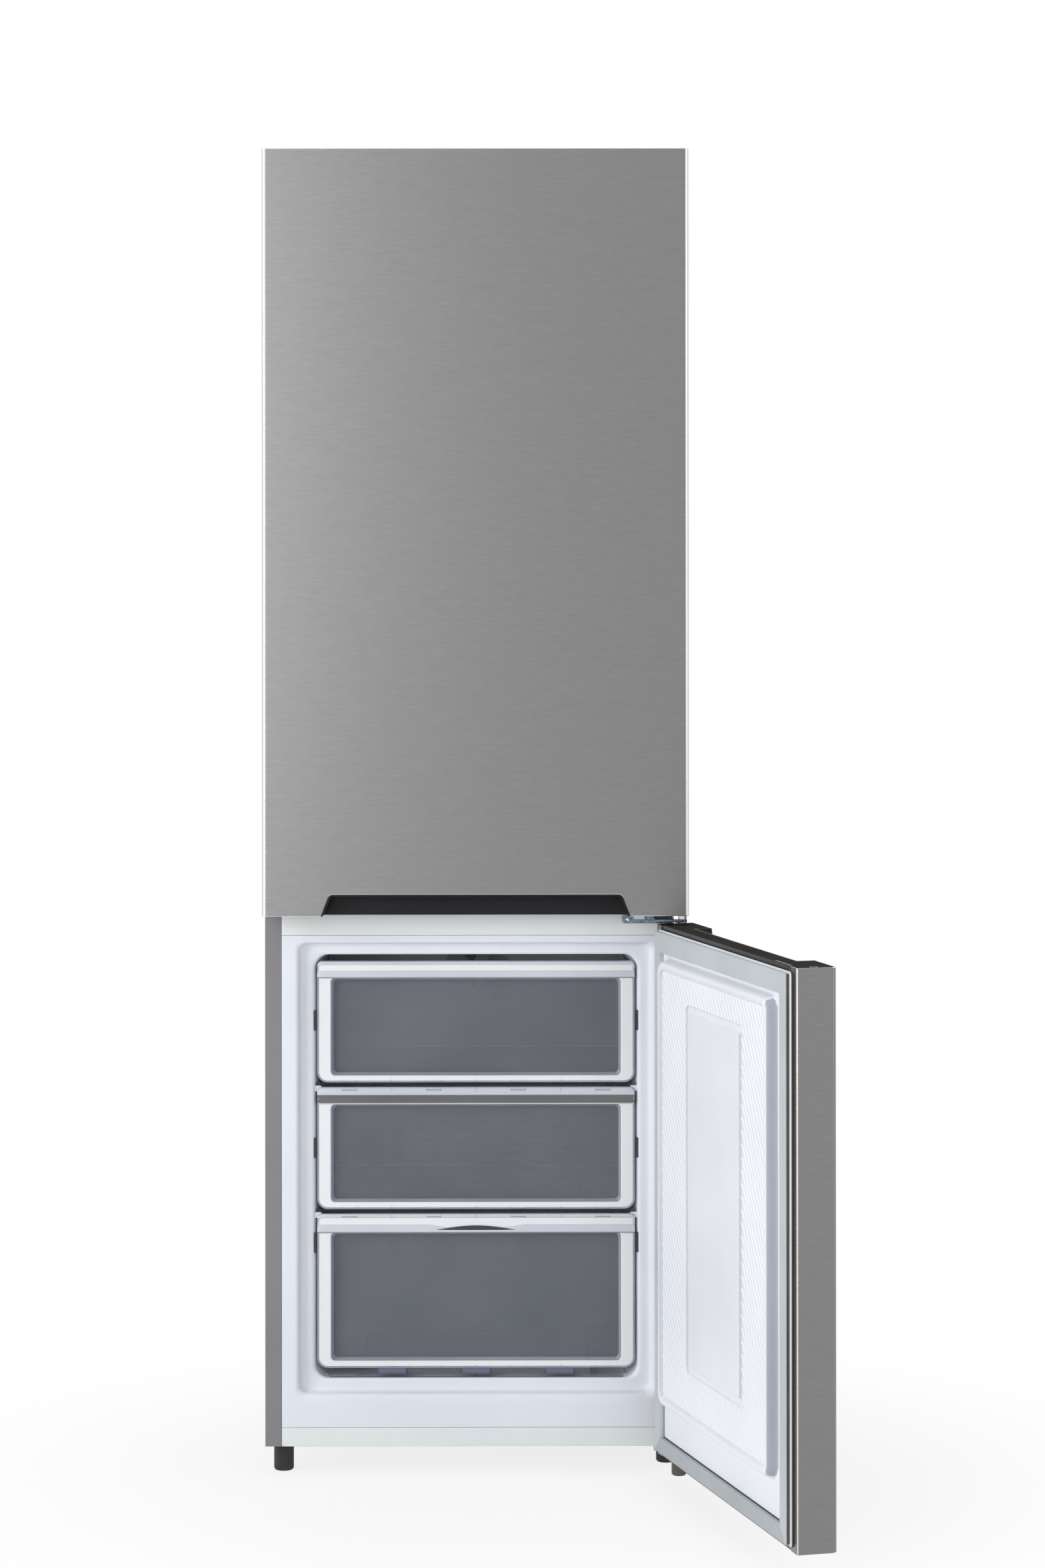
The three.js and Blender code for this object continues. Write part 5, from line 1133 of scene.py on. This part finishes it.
def panel_screws():
    """Screws round the edge of the back panel."""
    panel = Box("back_panel")
    inset, rows = 9 * MM, 6
    low, high = panel.z0 + inset, panel.z1 - inset
    heights = [low + (high - low) * k / (rows - 1) for k in range(rows)]
    places = [(x, z) for z in heights for x in (panel.x0 + inset, panel.x1 - inset)]
    for number, (x, z) in enumerate(places + [(panel.x, high), (panel.x, low)], 1):
        screw(f"back_screw_{number}", (x, panel.y1, z), 3.6 * MM, 1.6 * MM, -90, PALE_ZINC)


def fluted_foot(node, material, flutes):
    """A levelling foot turned by hand: a fluted knob with a rounded bottom."""
    foot = Box(node)
    radius, height = (foot.x1 - foot.x0) / 2, foot.z1 - foot.z0
    groove, points = 0.9 * MM, 6
    profile = [(0, 0.78), (0.8 * MM, 0.9), (2 * MM, 0.97), (3.5 * MM, 1), (height - 1.5 * MM, 1), (height, 0.94)]
    plan = []
    for angle in angles(flutes * points):
        reach = radius - groove * (0.5 - 0.5 * cos(flutes * angle)) ** 2
        plan.append((reach * cos(angle), reach * sin(angle)))
    rings = [[(foot.x + share * x, foot.y + share * y, foot.z0 + z) for x, y in plan] for z, share in profile]
    stand_in(node, skin(rings), material)


# ---- Machinery

def condenser_wires():
    """Fine upright wires between the condenser's runs and the back panel."""
    coil = Box("condenser")
    bend, pitch, radius, flat_sides = 66 * MM, 12 * MM, 0.75 * MM, 6
    y, low, high = coil.y1 - 6.6 * MM, coil.z0 + 14 * MM, coil.z0 + 1178 * MM
    count = int((coil.x1 - coil.x0 - 2 * bend) / pitch) + 1
    places = [coil.x0 + bend + number * pitch for number in range(count)]
    wires = [tube([(x, y, low), (x, y, high)], radius, flat_sides) for x in places]
    show("condenser_wires", merged(*wires), CONDENSER)


def curved(points, steps=6):
    """A smooth curve through the points."""
    line = [points[0], *points, points[-1]]
    result = []
    for a, b, c, d in zip(line, line[1:], line[2:], line[3:]):
        for step in range(steps):
            t = step / steps
            bend, twist = 2 * a - 5 * b + 4 * c - d, 3 * b - a - 3 * c + d
            result.append(0.5 * (2 * b + (c - a) * t + bend * t ** 2 + twist * t ** 3))
    return result + [points[-1]]


def offsets(x, y, z, *steps):
    """Points that lie the given millimetres from a place."""
    return [Vector((x, y, z)) + Vector(step) * MM for step in steps]


def compressor_tubes():
    """The compressor's pressure and suction tubes."""
    can, coil = Box("compressor"), Box("condenser")
    pressure = [
        *offsets(can.x0, can.y, can.z0, (42, 10, 60), (-10, 14, 58), (-46, 34, 62)),
        *offsets(can.x0, coil.y1, can.z0, (-54, -16, 100), (-54, -5, 190)),
        *offsets(can.x0, coil.y1, coil.z0, (-54, -5, 14)),
    ]
    suction = [
        *offsets(can.x1, can.y, can.z0, (-60, 20, 110), (6, 24, 112), (40, 20, 130), (46, 0, 180)),
        *offsets(can.x1, can.y, Box("room_panel").z1, (46, -10, -4)),
    ]
    tubes = merged(tube(curved(pressure), 2.4 * MM), tube(curved(suction), 3 * MM))
    show("compressor_tubes", tubes, COPPER)


# ---- Camera, light and floor

PHOTO = (1568, 2352)
FOCAL_PIXELS = 6204.6
OPTICAL_CENTRE = (765.0, 749.9)  # column and row of the photograph's frame
CAMERA_PLACE = Vector((-54.8, -5799.2, 1348.1)) * MM
CAMERA_TURN = [radians(angle) for angle in (90.218, 0.046, -0.222)]  # pitch, roll and yaw
AMBIENT = 0.36
FLOOR_COLOUR = (0.9, 0.9, 0.9, 1)
FLOOR_HALF = 6.0
FLOOR_FADE = (0.2, 1.1)  # distances from the part between which the floor turns into the white background
SHADOW_LIFT = 0.8  # how far the white background covers the floor's shadow under the part
AIM = (Box("cabinet_wrap").x, 0, 0.95)
LAMPS = (  # name, place, target, width and height, level
    ("key_left", (-3.3, -2.2, 1.7), AIM, (1.8, 2.6), 0.5),
    ("front_left", (-1.2, -4.1, 1.5), AIM, (0.9, 2.6), 0.16),
    ("fill_right", (3.2, -2.2, 2.0), AIM, (2.0, 2.4), 0.13),
    ("top", (0, -0.6, 4.2), (0, 0, 1), (2.5, 2.5), 0.2),
    ("rear", (0, 4.0, 2.6), (0, 0.3, 1), (2.5, 2.5), 0.3),
)


def build_camera():
    data = bpy.data.cameras.new("camera")
    data.sensor_fit = "AUTO"
    data.sensor_width = 36.0
    data.lens = FOCAL_PIXELS / PHOTO[1] * data.sensor_width
    data.shift_x = (PHOTO[0] / 2 - OPTICAL_CENTRE[0]) / PHOTO[1]
    data.shift_y = (OPTICAL_CENTRE[1] - PHOTO[1] / 2) / PHOTO[1]
    camera = add_object("camera", data)
    camera.location = CAMERA_PLACE
    camera.rotation_euler = CAMERA_TURN
    bpy.context.scene.camera = camera


def softbox(name, place, target, size, level):
    """A lamp that lights a white surface facing it, at its target, to the given level."""
    way = Vector(target) - Vector(place)
    data = bpy.data.lights.new(name, "AREA")
    data.shape = "RECTANGLE"
    data.size, data.size_y = size
    data.energy = level * pi ** 2 * way.length_squared
    lamp = add_object(name, data)
    lamp.location = place
    lamp.rotation_euler = way.to_track_quat("-Z", "Y").to_euler()


def seen_directly(tree):
    """1 for rays that show the background: from the camera, off gloss or through glass."""
    path = add_node(tree, "LightPath", {})
    seen = path.outputs["Is Camera Ray"]
    for ray in ("Is Glossy Ray", "Is Transmission Ray"):
        seen = add_node(tree, "Math", {0: seen, 1: path.outputs[ray]}, operation="MAXIMUM").outputs[0]
    return seen


def build_world():
    world = bpy.data.worlds.new("studio")
    bpy.context.scene.world = world
    world.use_nodes = True
    tree = world.node_tree
    strength = add_node(tree, "MapRange", {"Value": seen_directly(tree), "To Min": AMBIENT, "To Max": 1.0})
    wire(tree, tree.nodes["Background"], {"Color": (1, 1, 1, 1), "Strength": strength.outputs["Result"]})


def floor_material():
    """Pale floor that keeps the shadow near the part and runs out into the white background."""
    material = bpy.data.materials.new("studio_floor")
    material.use_nodes = True
    tree = material.node_tree
    shader = tree.nodes["Principled BSDF"]
    wire(tree, shader, {"Base Color": FLOOR_COLOUR, "Roughness": 0.8, "Specular IOR Level": 0.0})
    place = add_node(tree, "TexCoord", {})
    length = add_node(tree, "VectorMath", {0: place.outputs["Object"]}, operation="LENGTH")
    near, far = FLOOR_FADE
    fade = {"Value": length.outputs["Value"], "From Min": near, "From Max": far, "To Min": SHADOW_LIFT}
    fade = add_node(tree, "MapRange", fade, interpolation_type="SMOOTHSTEP")
    share = add_node(tree, "Math", {0: fade.outputs["Result"], 1: seen_directly(tree)}, operation="MULTIPLY")
    glow = add_node(tree, "Emission", {"Strength": 1.0})
    mix = add_node(tree, "MixShader", {"Fac": share.outputs[0], 1: shader.outputs[0], 2: glow.outputs[0]})
    wire(tree, tree.nodes["Material Output"], {"Surface": mix.outputs[0]})
    return material


def build_stage():
    mesh = bpy.data.meshes.new("floor")
    corners = [(x * FLOOR_HALF, y * FLOOR_HALF, 0) for x, y in ((-1, -1), (1, -1), (1, 1), (-1, 1))]
    mesh.from_pydata(corners, [], [(0, 1, 2, 3)])
    mesh.materials.append(floor_material())
    floor = add_object("floor", mesh)
    for lamp in LAMPS:
        softbox(*lamp)
    build_world()
    bpy.context.scene.view_settings.view_transform = "Standard"


build_camera()
build_stage()
build_plain_solids()
shrunk_foam("cabinet_foam", lambda point: FOAM_CORNER_GAP if near_mouth_corner(point) else FOAM_GAP)
mouth, drawer_plane = freezer_lining()
freezer_fittings(mouth, drawer_plane)
fridge_lining()
for shelf in SHELVES:
    glass_shelf(shelf)
control_details()
build_drawers()
build_doors()
middle_hinge()
panel_screws()
fluted_foot("front_foot_left", FOOT, 24)
fluted_foot("front_foot_right", FOOT, 24)
fluted_foot("hinge_foot", HINGE_FOOT, 18)
condenser_wires()
compressor_tubes()
